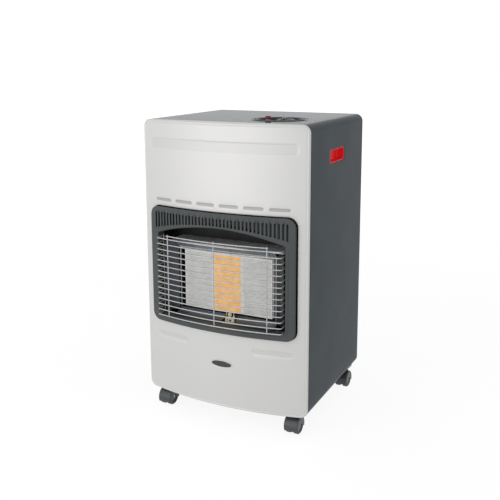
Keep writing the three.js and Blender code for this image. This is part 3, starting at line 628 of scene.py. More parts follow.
@maker
def brass(f, look):
    """Machined brass: fine turning lines and a light tarnish."""
    lathe = f.drawn((900.0, 900.0, 4000.0), 2.0, 0.5)
    tarnish = f.noise(70.0, 4.0).ease(0.4, 0.75)
    base = f.mix(tarnish, (0.66, 0.46, 0.19), (0.36, 0.24, 0.11))
    f.close(Base_Color=base, Metallic=1.0, Roughness=0.26 + 0.25 * tarnish, Normal=f.bump(lathe, 0.00001))


@maker
def badge_rim(f, look):
    """A bright metal rim with a fine satin grain."""
    grain = f.noise(3000.0, 2.0)
    base = f.mix(grain.ease(0.3, 0.7), (0.55, 0.56, 0.57), (0.7, 0.71, 0.72))
    f.close(Base_Color=base, Metallic=0.8, Roughness=0.22 + 0.12 * grain)


@maker
def zinc(f, look):
    """Zinc-plated screws and plates: a faint spangle."""
    spangle = f.cells(420.0)
    grain = f.noise(2500.0, 2.0)
    base = f.mix(spangle.ease(0.1, 0.8), (0.42, 0.43, 0.44), (0.56, 0.57, 0.58))
    f.close(Base_Color=base, Metallic=0.95, Roughness=0.3 + 0.15 * spangle, Normal=f.bump(grain, 0.00002))


# ---- finishes: ceramic --------------------------------------------------------------------------------
@maker
def ceramic(f, look):
    """Unglazed fired ceramic: chalky, porous, with faint fired patches, painted shade inside the holes and
    a faint painted glow.
    """
    pores = f.cells(2600.0)
    base = f.tones(f.noise(45.0, 3.0).ease(0.3, 0.7), look.ceramic, 0.94, 1.05)
    base = f.mix(pores.ease(0.0, 0.35), tint(look.ceramic, 0.8), base)
    # Painted shade inside the holes, darkest at their floors.
    base = f.mix(f.attribute("darkening"), base, tint(look.ceramic, 0.25))
    glow = {"Emission_Color": base, "Emission_Strength": 0.19}  # painted light: a faint glow that brightens the unlit plaques and all borders
    f.close(Base_Color=base, Roughness=0.88, IOR=1.3, Normal=f.bump(pores, 0.00006), **glow)


@maker
def glowing_ceramic(f, look):
    """The lit plaque: the same body glowing orange, hotter in some spots than in others, with painted shade
    in its holes.
    """
    heat = f.noise(60.0, 3.0).ease(0.32, 0.68)
    hole = f.attribute("darkening")
    # Painted shade: in the holes the colour and the glow go darker.
    base, glow = (f.mix(hole, f.tones(heat, look.glow, *tones), tint(look.glow, 0.5))
                  for tones in ((0.9, 1.0), (0.85, 1.1)))
    bump = f.bump(f.cells(2600.0), 0.00006)
    f.close(Base_Color=base, Roughness=0.85, Emission_Color=glow, Emission_Strength=0.42, Normal=bump)


@maker
def cream_ceramic(f, look):
    """Glazed insulator: a warm white with a few fired specks."""
    speck = f.noise(1800.0, 2.0).ease(0.66, 0.8)
    base = f.mix(speck, (0.82, 0.77, 0.6), (0.45, 0.36, 0.22))
    f.close(Base_Color=base, Roughness=0.3 + 0.3 * speck, Coat_Weight=0.3)


# ---- finishes: plastic --------------------------------------------------------------------------------
@maker
def red_plastic(f, look):
    """Moulded red plastic: a fine spark-eroded grain."""
    grain = f.noise(2600.0, 3.0, 0.7)
    base = f.tones(f.noise(30.0, 2.0).ease(0.3, 0.7), look.red, 0.95, 1.05)
    f.close(Base_Color=base, Roughness=0.42 + 0.12 * grain, Normal=f.bump(grain, 0.00004))


@maker
def button_plastic(f, look):
    """The igniter's deeper red, polished on its crown."""
    grain = f.noise(2600.0, 3.0, 0.7)
    base = f.tones(f.noise(60.0, 2.0).ease(0.3, 0.7), look.button, 0.92, 1.08)
    f.close(Base_Color=base, Roughness=0.34 + 0.14 * grain, Normal=f.bump(grain, 0.00003))


@maker
def black_plastic(f, look):
    """Moulded black plastic: fine grain, slightly worn to a shine in patches."""
    grain = f.noise(2400.0, 3.0, 0.7)
    worn = f.noise(40.0, 3.0)
    base = f.mix(worn.ease(0.3, 0.7), (0.03, 0.032, 0.036), (0.042, 0.045, 0.05))
    gloss = 0.34 + 0.14 * grain + 0.06 * worn
    f.close(Base_Color=base, Roughness=gloss, Normal=f.bump(grain, 0.00004))


@maker
def knob_plastic(f, look):
    """The knob's black plastic, with a white line let into the front half of the finger bar's crown."""
    grain = f.noise(2400.0, 3.0, 0.7)
    x, y, z = f.parts()
    knob = in_frame((*KNOB_AT, KNOB_TOP))
    line = ((x - knob.x).size() < 0.8 * MM) * (y < knob.y - 6 * MM) * (z > knob.z - 1.5 * MM)
    base = f.mix(line, (0.024, 0.025, 0.027), (0.8, 0.8, 0.78))
    f.close(Base_Color=base, Roughness=0.32 + 0.14 * grain, Normal=f.bump(grain, 0.00004))


@maker
def caster_plastic(f, look):
    """Moulded grey plastic of the caster hoods, scuffed a little."""
    grain = f.noise(1900.0, 3.0, 0.7)
    scuff = f.noise(90.0, 4.0, 0.7).ease(0.55, 0.8)
    base = f.tones(scuff, look.caster, 1.0, 1.35)
    f.close(Base_Color=base, Roughness=0.4 + 0.15 * scuff, Normal=f.bump(grain, 0.00005))


@maker
def wheel_plastic(f, look):
    """Hard dark tread, dusty where it rolls."""
    grain = f.noise(1300.0, 3.0, 0.7)
    dust = f.noise(150.0, 4.0, 0.7).ease(0.45, 0.8)
    base = f.tones(dust * 0.5, look.caster, 0.75, 1.5)
    f.close(Base_Color=base, Roughness=0.5 + 0.2 * dust, Normal=f.bump(grain, 0.00006))


# ---- what a user would change -------------------------------------------------------------------------
def colour(name, description, value):
    return FloatVectorProperty(
        name=name, description=description, default=value, subtype="COLOR", min=0, max=1
    )


def length(name, description, value):
    return FloatProperty(name=name, description=description, default=value * MM, unit="LENGTH", min=0)


class HeaterColours(bpy.types.PropertyGroup):
    """Colours of the finishes, as linear light."""

    silver: colour("Silver", "Lacquer of the front panel", (0.72, 0.712, 0.695))
    charcoal: colour("Charcoal", "Powder coat of the cabinet", (0.076, 0.092, 0.101))
    bezel: colour("Bezel", "Enamel of the window frame", (0.091, 0.098, 0.1))
    wire: colour("Wire", "Plate of the guard's wires", (0.56, 0.565, 0.56))
    steel: colour("Steel", "Polished sheet round the burner", (0.2, 0.215, 0.235))
    # The side reflectors' very dark colour is painted shade, standing in for the dim reflections at the
    # window's sides.
    soft_steel: colour("Soft steel", "Aluminised sheet over and under the plaques", (0.3, 0.33, 0.37))
    dim_steel: colour("Dim steel", "Reflector sheet, which mirrors a dark room", (0.07, 0.077, 0.085))
    ceramic: colour("Ceramic", "Body of the plaques", (0.72, 0.715, 0.695))
    glow: colour("Glow", "Colour of the lit plaque", (0.82, 0.5, 0.22))
    red: colour("Red", "Plastic of the grips", (0.98, 0.014, 0.026))
    button: colour("Button", "Plastic of the igniter button", (0.2, 0.006, 0.014))
    caster: colour("Caster", "Plastic of the casters", (0.06, 0.065, 0.068))


class HeaterSizes(bpy.types.PropertyGroup):
    """Sizes of the fine forms, and the counts of like ones."""

    rim_radius: length("Rim radius", "Round of the front panel's outer edge", 3.0)
    groove_depth: length("Groove depth", "Depth of the groove inside that edge", 0.8)
    press_depth: length("Press depth", "Depth of the pressed band, bars and dashes", 1.1)
    plate: length("Bezel plate", "Thickness of the window frame's plate", 1.8)
    hole: length("Plaque hole", "Radius of the holes in the plaques", 0.85)
    columns: IntProperty(name="Hole columns", description="Holes across one plaque", default=25, min=4)
    rows: IntProperty(name="Hole rows", description="Holes up one plaque", default=47, min=4)


# ---- front --------------------------------------------------------------------------------------------
WINDOW = (-186.0, 232.0, 186.0, 512.0)
WINDOW_R = 22.0
WINDOW_CELLS = (-192.0, 226.0, 192.0, 518.0)  # the cells that the front's grid leaves out round it
FRONT_BACK = 2.6  # the back of the pressed sheet, behind its face
FRONT_LIP = 4.0  # y of the outer edge's foot
FRONT_MARGIN = 12.0  # the strip outside the grid, for the rim and its groove
GROOVE_AT, GROOVE_WIDTH = 5.6, 0.75  # the groove's middle, from the edge, and its spread
GROOVE_LINES = (8.4, 7.4, 6.9, 6.3, 5.8, 5.3, 4.8, 4.2, 3.7)  # the insets that draw it

# Pressed forms, as stadiums: the middle's x and z, the width and the height.
DASH_PITCH = 59.4
DASHES = [((i - 2.5) * DASH_PITCH - 1.2, 527.0, 46.5, 7.0) for i in range(6)]
PRESSED = [
    (0.0, 659.0, 376.0, 23.0),  # the band at the top
    (-131.0, 197.0, 92.0, 13.0),  # the bars under the window
    (131.0, 197.0, 92.0, 13.0),
]

# Where the grid's lines lie closer, as (start, end, step).
CLOSE_X = [(-189.5, -158, 2.4), (158, 189.5, 2.4), (83, 92, 1.2), (-92, -83, 1.2)]
CLOSE_Z = [
    (227, 262, 4),  # the window's corners
    (482, 517, 4),
    (645.5, 652, 0.9),  # the band's edges
    (666, 672.5, 0.9),
    (522.2, 531.8, 0.8),  # the dashes
    (188.8, 205.2, 1.1),  # the bars
]


class HEATER_OT_front(bpy.types.Operator):
    """Build the bowed silver front with its rim, groove, pressed band, bars and dashes"""

    bl_idname = "heater.front"
    bl_label = "Front panel"

    def execute(self, context):
        sizes = context.scene.heater_sizes
        xs, zs = self.grid_lines()
        panel = Surface("front_sheet")
        self.sheet(panel, xs, zs, sizes.press_depth / MM)
        self.outer_edge(panel, border(xs, zs), sizes.rim_radius / MM, sizes.groove_depth / MM)
        self.window_edge(panel, gap_border(xs, zs, WINDOW_CELLS))
        panel.make("cabinet", ["front_panel"], "silver_paint", crease=50)
        return {"FINISHED"}

    def grid_lines(self):
        """Lines of x and of z, closer at the pressed forms' edges and fanned for the round corners."""
        half, low, high = HALF - FRONT_MARGIN, BASE + FRONT_MARGIN, TOP - FRONT_MARGIN
        radius = CORNER - FRONT_MARGIN
        x0, z0, x1, z1 = WINDOW_CELLS
        over, under, step = 1.2, 4.5, 0.75  # round a dash's end: past it, before it and the step
        tips = [(c - w / 2 - over, c - w / 2 + under, step) for c, _, w, _ in DASHES]
        tips += [(c + w / 2 - under, c + w / 2 + over, step) for c, _, w, _ in DASHES]
        xs = lines(-half, half, 8, CLOSE_X + tips, [x0, x1, *corner_fans(-half, half, radius, 7)])
        zs = lines(low, high, 12, CLOSE_Z, [z0, z1, *corner_fans(low, high, radius, 7)])
        return xs, zs

    def relief(self, x, z, depth):
        """How far the sheet is pressed in, and how much painted shade darkens its paint: the most of some
        stadiums with soft edges, wide and shallow ones for the band and bars, lightly shaded, and sharp
        ones for the dashes, fully shaded."""
        deep = np.zeros(np.broadcast(x, z).shape)
        dark = np.zeros(deep.shape)
        # The second share is painted shade: 0.14 over the band and bars, full in the dashes.
        for shape in PRESSED:
            deep = np.maximum(deep, 0.75 * depth * stadium(x, z, *shape, 4.5))
            dark = np.maximum(dark, 0.14 * stadium(x, z, *shape, 3.0))
        for shape in DASHES:
            deep = np.maximum(deep, depth * stadium(x, z, *shape, 1.6))
            dark = np.maximum(dark, stadium(x, z, *shape, 1.4))
        return deep, dark

    def sheet(self, panel, xs, zs, depth):
        """The face with its relief, and the plain back."""
        grid = np.stack(np.meshgrid(xs, zs, indexing="ij"), -1)
        keep = outside(xs, zs, WINDOW_CELLS)
        deep, dark = self.relief(grid[..., 0], grid[..., 1], depth)
        # The face's value is the painted shade of its pressed forms.
        panel.patch(on_front(grid, deep), keep=keep, value=dark)
        panel.patch(on_front(grid, FRONT_BACK), keep=keep)

    def outer_edge(self, panel, loop, rim, groove):
        """Across the groove, which is a bell curve over the distance from the edge, then round over, back
        to the lip, and forward again inside."""
        at = lambda inset: rounded(loop, (-HALF, BASE, HALF, TOP), CORNER, inset)
        sunk = lambda inset: groove * math.exp(-(((inset - GROOVE_AT) / GROOVE_WIDTH) ** 2))
        rows = [on_front(loop)]
        rows += [on_front(at(inset), sunk(inset)) for inset in GROOVE_LINES]
        rows += [on_front(at(inset), depth) for inset, depth in quarter(rim, 7)]
        rows += [across_y(at(0), FRONT_LIP), across_y(at(SHEET), FRONT_LIP)]
        rows += [on_front(at(SHEET), FRONT_BACK), on_front(loop, FRONT_BACK)]
        panel.patch(np.stack(rows), wrap=True)

    def window_edge(self, panel, loop):
        """Round over, back into the panel, and forward again behind it."""
        radius, flange = 1.6, 8.0
        at = lambda inset: rounded(loop, WINDOW, WINDOW_R, -inset)
        rows = [on_front(loop), on_front(at(3.5)), on_front(at(radius))]
        rows += [on_front(at(inset), depth) for inset, depth in quarter(radius, 4, 70)]
        rows += [on_front(at(0), flange), on_front(at(SHEET), flange)]
        rows += [on_front(at(SHEET), FRONT_BACK), on_front(loop, FRONT_BACK)]
        panel.patch(np.stack(rows), wrap=True)


class HEATER_OT_badge(bpy.types.Operator):
    """Build the bare oval badge: a domed dark plate in a bright rim"""

    bl_idname = "heater.badge"
    bl_label = "Badge"

    def execute(self, context):
        centre, reach = np.array([8.0, 156.0]), np.array([27.0, 9.0])
        rim = [(0, 0.3), (0, 1.1), (0.5, 1.7), (1.0, 1.8), (1.5, 1.55), (1.7, 1.2)]  # inset and height
        a = angles(72)
        ring = lambda inset: centre + (reach - inset) * np.stack([np.cos(a), np.sin(a)], -1)
        badge = Surface("badge_oval")
        badge.patch(np.stack([on_front(ring(inset), -high) for inset, high in rim]), wrap=True, slot=1)
        inset, high = rim[-1]
        share = np.linspace(1, 0, 9)[:, None]
        dome = centre + (ring(inset) - centre) * share[..., None]
        badge.patch(on_front(dome, -high - 0.5 * (1 - share**2)), wrap=True)
        badge.make("cabinet", ["badge_plate"], "badge", ["badge_enamel", "badge_rim"])
        return {"FINISHED"}


# ---- cabinet ------------------------------------------------------------------------------------------
GRIP_BOX = (122.0, 615.0, 214.0, 645.0)  # y and z
GRIP_R = 8.0
GRIP_PLAY = 0.3  # between the grip and its hole in the wall
GRIP_CELLS = (116.0, 609.0, 220.0, 651.0)
DISH_AT = (90.0, 110.0)
DISH_HOLE = 52.7
DISH_CELLS = (34.0, 54.0, 146.0, 166.0)  # x and y
FOOT = 24.0  # where the outline's two feet end, from the side
BEAD_R = 65.0


class HEATER_OT_cabinet(bpy.types.Operator):
    """Build the cabinet's skin, its rear flange and the bead round the dish, and finish what it holds"""

    bl_idname = "heater.cabinet"
    bl_label = "Cabinet"

    def execute(self, context):
        self.skin()
        self.flange()
        self.bead()
        coat("dark_steel", "base_pan", "heat_shield")
        coat("black_plastic", "cover_catch_left", "cover_catch_right")
        return {"FINISHED"}

    def skin(self):
        """The outline of the cabinet carried from front to back, in strips: at each level of y it lies
        inside the outline by a given distance, square to it. Holes are left for the grips and the dish."""
        y0, z0, y1, z1 = GRIP_CELLS
        dx0, dy0, dx1, dy1 = DISH_CELLS
        hem = [(4.9, 12.0), (4.9, 1.6), (5.0, 0.9), (5.3, 0.35), (5.9, 0.0)]
        rear = [(351.2, 0.0), (351.8, 0.3), (DEPTH, 0.8)]
        ys = lines(8, 350, 16, [(dy0, dy1, 7), (y0, y1, 8)], [dy0, dy1, y0, y1])
        levels = np.concatenate([hem, np.stack([ys, 0 * ys], -1), rear])
        deep = levels[:, 0]
        zs = lines(BASE + CORNER, TOP - CORNER, 30, [(z0, z1, 7)], [z0, z1])
        xs = lines(CORNER - HALF, HALF - CORNER, 30, [(dx0, dx1, 7)], [dx0, dx1])
        skin = Surface("cabinet_skin")

        def strip(points, normals, keep=None):
            """A stretch of the outline carried from the front to the back."""
            inside = normals[:, None] * levels[:, 1][:, None]
            skin.patch(across_y(points[:, None] - inside, deep), keep=keep)

        for side in (-1, 1):
            walls = np.stack([side * HALF + 0 * zs, zs], -1)
            strip(walls, np.tile([side, 0.0], (len(zs), 1)), outside(zs, deep, (z0, y0, z1, y1)))
            for low, start in ((BASE + CORNER, -90), (TOP - CORNER, 0)):
                turn = arc((0, 0), 1, start, start + 90, 10) * [side, 1]
                strip([side * (HALF - CORNER), low] + CORNER * turn, turn)
            foot = np.array([(side * (HALF - CORNER), BASE), (side * (HALF - FOOT), BASE)])
            strip(foot, np.tile([0.0, -1.0], (2, 1)))
            loop = gap_border(deep, zs, GRIP_CELLS)
            hole, radius = grown(GRIP_BOX, GRIP_PLAY), GRIP_R + GRIP_PLAY
            rows = [(loop, 0), (rounded(loop, hole, radius, -1.0), 0), (rounded(loop, hole, radius), 0.35)]
            skin.patch(np.stack([across_x(row, side * (HALF - d)) for row, d in rows]), wrap=True)
        roof = np.stack([xs, TOP + 0 * xs], -1)
        strip(roof, np.tile([0.0, 1.0], (len(xs), 1)), outside(xs, deep, DISH_CELLS))
        loop = gap_border(xs, deep, DISH_CELLS)
        rows = [loop, DISH_AT + DISH_HOLE * unit(loop - DISH_AT)]
        skin.patch(np.stack([np.insert(row, 2, TOP, axis=-1) for row in rows]), wrap=True)
        middle = (0, DEPTH / 2, 380)
        skin.make("cabinet", ["cabinet_shell"], "charcoal_paint", sheet=SHEET, inside=middle)

    def flange(self):
        """The flange that the rear cover closes on: a thin section carried round the cabinet's outline,
        from the right foot over the top to the left foot."""
        turn = lambda start: arc((0, 0), 1, start, start + 90, 8)
        corner = lambda z, normals: np.concatenate([[HALF - CORNER, z] + CORNER * normals, normals], -1)
        lower, upper = corner(BASE + CORNER, turn(-90)), corner(TOP - CORNER, turn(0))
        right = np.concatenate([[[HALF - FOOT, BASE, 0, -1]], lower, upper])
        points, normals = np.split(np.concatenate([right, right[::-1] * [-1, 1, -1, 1]]), 2, axis=-1)
        section = [(344, 1.3), (344, 13.4), (344.4, 14), (345.2, 14), (345.2, 1.3)]  # y and inset
        rows = [across_y(points - normals * inset, y) for y, inset in section]
        flange = Surface("rear_flange")
        flange.patch(np.stack(rows), wrap_rows=True)
        flange.make("cabinet", [], "charcoal_paint")

    def bead(self):
        """The bead pressed up round the dish: a low half circle carried round."""
        low, flat = TOP - 0.5, 0.8
        swell = arc((BEAD_R, 0), 1.6, 0, 180, 10) * [1, flat]
        bead = Surface("dish_bead")
        bead.turned(swell, (*DISH_AT, low), sides=96, closed=True)
        bead.make("cabinet", [], "charcoal_paint")


class HEATER_OT_grips(bpy.types.Operator):
    """Build the two red finger grips: a round-cornered cup with a flange behind the wall"""

    bl_idname = "heater.grips"
    bl_label = "Grips"

    def execute(self, context):
        # Depth under the wall's face, and growth of the outline, from the cup's back to its floor.
        back = [(19.5, -3.0), (19.5, 0.2), (3.1, 0.2), (3.1, 5), (1.6, 5), (1.6, 0)]
        cup = [(0.2, 0), (0.2, -0.9), (0.7, -1.6), (8, -1.75), (14, -1.9)]
        floor = [(16.4, -2.6), (17.6, -4.2), (18, -6.2)]
        loop = lambda by: rounded_loop(grown(GRIP_BOX, by), max(GRIP_R + by, 1.5))
        for side, name in ((-1, "left"), (1, "right")):
            grip = Surface("grip_" + name)
            rows = [across_x(loop(by), side * (HALF - depth)) for depth, by in back + cup + floor]
            grip.patch(np.stack(rows), wrap=True)
            grip.make("cabinet", ["handle_" + name], "red_plastic", crease=50)
        return {"FINISHED"}


# ---- window -------------------------------------------------------------------------------------------
PROUD = 10.0  # the bezel's face in front of the panel's
FRAME_BOX = (-185.5, 232.5, 185.5, 511.5)
FRAME_R = 21.5
FRAME_CORE = (FRAME_BOX[2] - FRAME_R, FRAME_BOX[3] - FRAME_R)  # the centre of the upper right corner
OPEN_HALF, OPEN_LOW, OPEN_R = 163.0, 247.0, 12.0
ARCH_CROWN, ARCH_DROP = 477.0, 28.0
SLOT_X = np.linspace(-167.5, 167.5, 38)
SLOT_W, SLOT_TOP = 4.6, 499.5
SLOT_CROWN, SLOT_DROP = 482.0, 21.0  # the arch that the slots' feet follow
SLOT_ROUND = 0.4  # how high a slot's round ends are, as a share of a half circle
LAST_EDGE = 170.4  # past the last slot
TAIL = np.array([0, 1.2, 2.8, 4.4, 5.6, 6.4, 6.9, 8.1]) / 8.1  # lines from there to the outer edge
SIDE_ROWS, FOOT_ROWS = 12, 39


def arch(x):
    """The height of the opening's top edge: a parabola that drops to both sides."""
    return ARCH_CROWN - ARCH_DROP * (x / OPEN_HALF) ** 2


def lower_edge(corner, radius, start):
    """Down one side from a height, round the lower corner, along the foot and up the other side."""
    side = np.linspace((corner[0] + radius, start), (corner[0] + radius, corner[1]), SIDE_ROWS)
    turn = arc(corner, radius, 0, -90, 10)[1:]
    low = corner[1] - radius
    foot = np.linspace((corner[0], low), (-corner[0], low), FOOT_ROWS + 2)[1:-1]
    right = np.concatenate([side, turn])
    return np.concatenate([right, foot, right[::-1] * [-1, 1]])


class HEATER_OT_bezel(bpy.types.Operator):
    """Build the window frame: a proud plate with upright slots under its top edge and a tunnel inside"""

    bl_idname = "heater.bezel"
    bl_label = "Window frame"

    def execute(self, context):
        plate = context.scene.heater_sizes.plate / MM
        edge, lead, skirt = 2.4, 1.5, 7.0
        bezel = Surface("window_frame")
        front, keep = self.head(edge, lead)
        strip, outer, inner = self.lower(front, edge, lead)
        behind, _ = self.head(skirt, lead)
        for head, low, off in ((front, strip, 0.0), (behind, self.lower(behind, skirt, lead)[0], plate)):
            bezel.patch(on_front(head, off - PROUD), keep=keep)
            bezel.patch(on_front(low, off - PROUD))
        self.slot_walls(bezel, front, plate)
        self.outer_edge(bezel, outer, edge, skirt, plate)
        self.inner_edge(bezel, inner, lead, plate)
        bezel.make("cabinet", ["window_bezel"], "grey_bezel", crease=40)
        self.bead()
        return {"FINISHED"}

    def head(self, inset, lead):
        """The plate over the opening as a grid of x and z, six rows high: the opening's edge, a middle
        row, the slots' feet, a middle row, their heads and the outer edge. The outer edge is moved in by
        inset and the inner one out by lead. Also the cells that are no slot."""
        reach, side, w = FRAME_BOX[2] - inset, OPEN_HALF + lead, SLOT_W / 2
        columns = (SLOT_X[:, None] + [-w, -w * 0.72, 0, w * 0.72, w]).ravel()
        between = (SLOT_X[:-1] + SLOT_X[1:]) / 2
        tail = LAST_EDGE + (reach - LAST_EDGE) * TAIL
        xs = np.unique(np.round(np.concatenate([columns, tail, -tail, between, [-side, side]]), 5))
        out = np.abs(xs)
        top = FRAME_CORE[1] + np.sqrt((FRAME_R - inset) ** 2 - np.maximum(out - FRAME_CORE[0], 0) ** 2)
        low = arch(np.where(out <= side, np.minimum(out, OPEN_HALF), OPEN_HALF)) + lead
        nearest = SLOT_X[np.abs(xs[:, None] - SLOT_X).argmin(1)]
        off = np.abs(xs - nearest)
        in_slot = off <= w + 1e-6
        ends = np.where(in_slot, SLOT_ROUND * np.sqrt(np.maximum(w**2 - off**2, 0)), 0)
        drop = SLOT_DROP * (np.minimum(out, SLOT_X[-1] + 1.8) / SLOT_X[-1]) ** 2
        foot = SLOT_CROWN - drop + SLOT_ROUND * w - ends
        head = np.minimum(SLOT_TOP, top - 4) - SLOT_ROUND * w + ends
        rows = np.stack([low, (low + foot) / 2, foot, (foot + head) / 2, head, top], -1)
        keep = np.ones((len(xs) - 1, 5), bool)
        keep[in_slot[:-1] & in_slot[1:] & (nearest[:-1] == nearest[1:]), 2:4] = False
        return np.stack(np.broadcast_arrays(xs[:, None], rows), -1), keep

    def lower(self, head, inset, lead):
        """The rest of the plate as one strip from the opening's edge to the outer one, and both whole
        edges as loops, clockwise from the head's left end."""
        xs, spring = head[:, 0, 0], head[-1, 0, 1]
        reach, side = FRAME_BOX[2] - inset, OPEN_HALF + lead
        inner = lower_edge((OPEN_HALF - OPEN_R, OPEN_LOW + OPEN_R), OPEN_R + lead, spring)
        outer = lower_edge((FRAME_CORE[0], FRAME_BOX[1] + FRAME_R), FRAME_R - inset, spring)
        share = (xs[xs >= side - 1e-6] - side) / (reach - side)
        strip = inner[:, None] + share[:, None] * (outer - inner)[:, None]
        right = head[-1, 1:-1]
        outside_loop = np.concatenate([head[:, -1], right[::-1], outer, right * [-1, 1]])
        inside_loop = np.concatenate([head[np.abs(xs) < side - 1e-6, 0], inner])
        return strip, outside_loop, inside_loop

    def slot_walls(self, bezel, head, plate):
        """Each slot's loop of twelve points, joined from the face to the back of the plate."""
        first = np.searchsorted(head[:, 0, 0], SLOT_X - SLOT_W / 2 - 1e-4)
        ids = first[:, None] + np.arange(5)
        foot, middle, top = (head[ids, row] for row in (2, 3, 4))
        loop = np.concatenate([foot, middle[:, -1:], top[:, ::-1], middle[:, :1]], 1)
        bezel.patch(np.stack([on_front(loop, -PROUD), on_front(loop, plate - PROUD)], 1), wrap=True)

    def outer_edge(self, bezel, loop, edge, skirt, plate):
        """Round over, back to the panel's face, and a skirt that goes back into the window's hole."""
        rows = [*quarter(edge, 6), (0.0, plate + 1.2), (0.4, plate + 1.7), (5.4, plate + 1.7), (5.5, 13.0),
                (skirt, 13.0), (skirt, plate)]
        at = lambda inset: rounded(loop, FRAME_BOX, FRAME_R, inset)
        bezel.patch(np.stack([on_front(at(inset), depth - PROUD) for inset, depth in rows]), wrap=True)

    def inner_edge(self, bezel, loop, lead, plate):
        """Round into the opening, back along the tunnel to a flat plane, and forward to the plate."""
        flat, wall = 2.0, 1.5
        normal = self.inner_normals(loop)
        at = lambda inset: loop - normal * (lead - inset)
        rows = [on_front(at(inset), depth - PROUD) for inset, depth in quarter(lead, 5)]
        rows += [across_y(at(0), flat), across_y(at(wall), flat), on_front(loop, plate - PROUD)]
        bezel.patch(np.stack(rows), wrap=True)

    def inner_normals(self, loop):
        """From the opening into the frame, square to the inner edge: the mean of the two sides that meet
        at each point, lengthened at a corner so that both sides move by the same distance."""
        turn = lambda v: unit(np.stack([-v[:, 1], v[:, 0]], -1))
        ahead, behind = turn(np.roll(loop, -1, 0) - loop), turn(loop - np.roll(loop, 1, 0))
        mean = unit(ahead + behind)
        return mean / np.maximum((mean * ahead).sum(-1, keepdims=True), 0.6)

    def bead(self):
        """A low half-round pressed up beside the opening, down one side, along its foot and up the other:
        half an ellipse across the path, fading at both ends."""
        width, height, sunk = 3.0, 1.8, 0.5
        corner = arc((OPEN_HALF - OPEN_R, OPEN_LOW + OPEN_R), OPEN_R + 4.4, 0, -90, 10)
        x, low = corner[0, 0], corner[-1]
        right = np.concatenate([np.linspace((x, 446), (x, 264), 9), corner])
        foot = np.linspace(low, low * [-1, 1], 33)[1:-1]
        path = np.concatenate([right, foot, right[::-1] * [-1, 1]])
        along = unit(np.gradient(path, axis=0))
        across = np.stack([along[:, 1], -along[:, 0]], -1)
        count = np.arange(len(path))
        fade = np.clip(np.minimum(count, count[::-1]) / 2, 0.02, 1)
        rows = [on_front(path + across * width * s, -PROUD - height * fade * math.sqrt(1 - s * s))
                for s in np.linspace(-1, 1, 9)]
        rows += [on_front(path + across * s, sunk - PROUD) for s in (2.7, -2.7)]
        bead = Surface("frame_bead")
        bead.patch(np.stack(rows), wrap_rows=True)
        bead.make("cabinet", [], "grey_bezel", crease=60)


WIRE_R = 1.3
WIRE_Z = 439.0 - 13.3 * np.arange(15)
SHORT_Z, SHORT_HALF = 446.5, 131.0
GUARD_HALF, GUARD_BEND = 159.0, 5.0
STAY_X = 127.0


class HEATER_OT_guard(bpy.types.Operator):
    """Build the wire guard: bowed wires that turn back into the window, a short one on top, and uprights"""

    bl_idname = "heater.guard"
    bl_label = "Wire guard"

    def execute(self, context):
        guard = Surface("guard_wires")
        upright, flat = (0, 1, 0), (0, 0, 1)
        plan = self.plan()
        for z in WIRE_Z:
            guard.rod(np.insert(plan, 2, z, axis=-1), WIRE_R, flat)
        x = np.linspace(-SHORT_HALF, SHORT_HALF, 25)
        guard.rod(np.stack([x, self.line(x), np.full(25, SHORT_Z)], -1), WIRE_R, flat)
        low, high = WIRE_Z[-1], WIRE_Z[0]
        for x in (-STAY_X, 0, STAY_X):
            y = self.line(x) + 2
            guard.rod(np.linspace((x, y, low - 3), (x, y, SHORT_Z + 3), 8), WIRE_R, upright)
        for x in (-GUARD_HALF - 1, GUARD_HALF + 1):
            guard.rod(np.linspace((x, -3, low + 1), (x, -3, high + 3), 8), WIRE_R, upright)
        nodes = ["wire_guard", "guard_end_left", "guard_end_right"]
        guard.make("cabinet", nodes, "bright_wire", crease=60)
        return {"FINISHED"}

    def line(self, x):
        """The wires' middle line over x, in front of the panel's bow."""
        return bow(x) - 21

    def plan(self):
        """A wire from above: out of the window, a quarter circle, along the bow and back the same way."""
        turn = np.linspace(0, np.pi / 2, 7)[1:-1]
        centre = np.array([GUARD_HALF - GUARD_BEND, self.line(GUARD_HALF - GUARD_BEND) + GUARD_BEND])
        end = centre + GUARD_BEND * np.stack([np.cos(turn), -np.sin(turn)], -1)
        tail = np.array([(GUARD_HALF, y) for y in (-2.0, -2.6, centre[1] / 2, centre[1])])
        x = np.linspace(centre[0], -centre[0], 33)
        right = np.concatenate([tail, end])
        return np.concatenate([right, np.stack([x, self.line(x)], -1), right[::-1] * [-1, 1]])


# ---- burner -------------------------------------------------------------------------------------------
PLAQUE_W, PLAQUE_PITCH = 75.6, 76.3
PLAQUE_Z = (265.0, 404.0)
PLAQUE_Y, PLAQUE_DEEP = 17.0, 13.0
MASK_BOX = (-127.0, 257.0, 127.0, 412.0)
FOLD = 1.1  # thickness of the folded sheets round the plaques


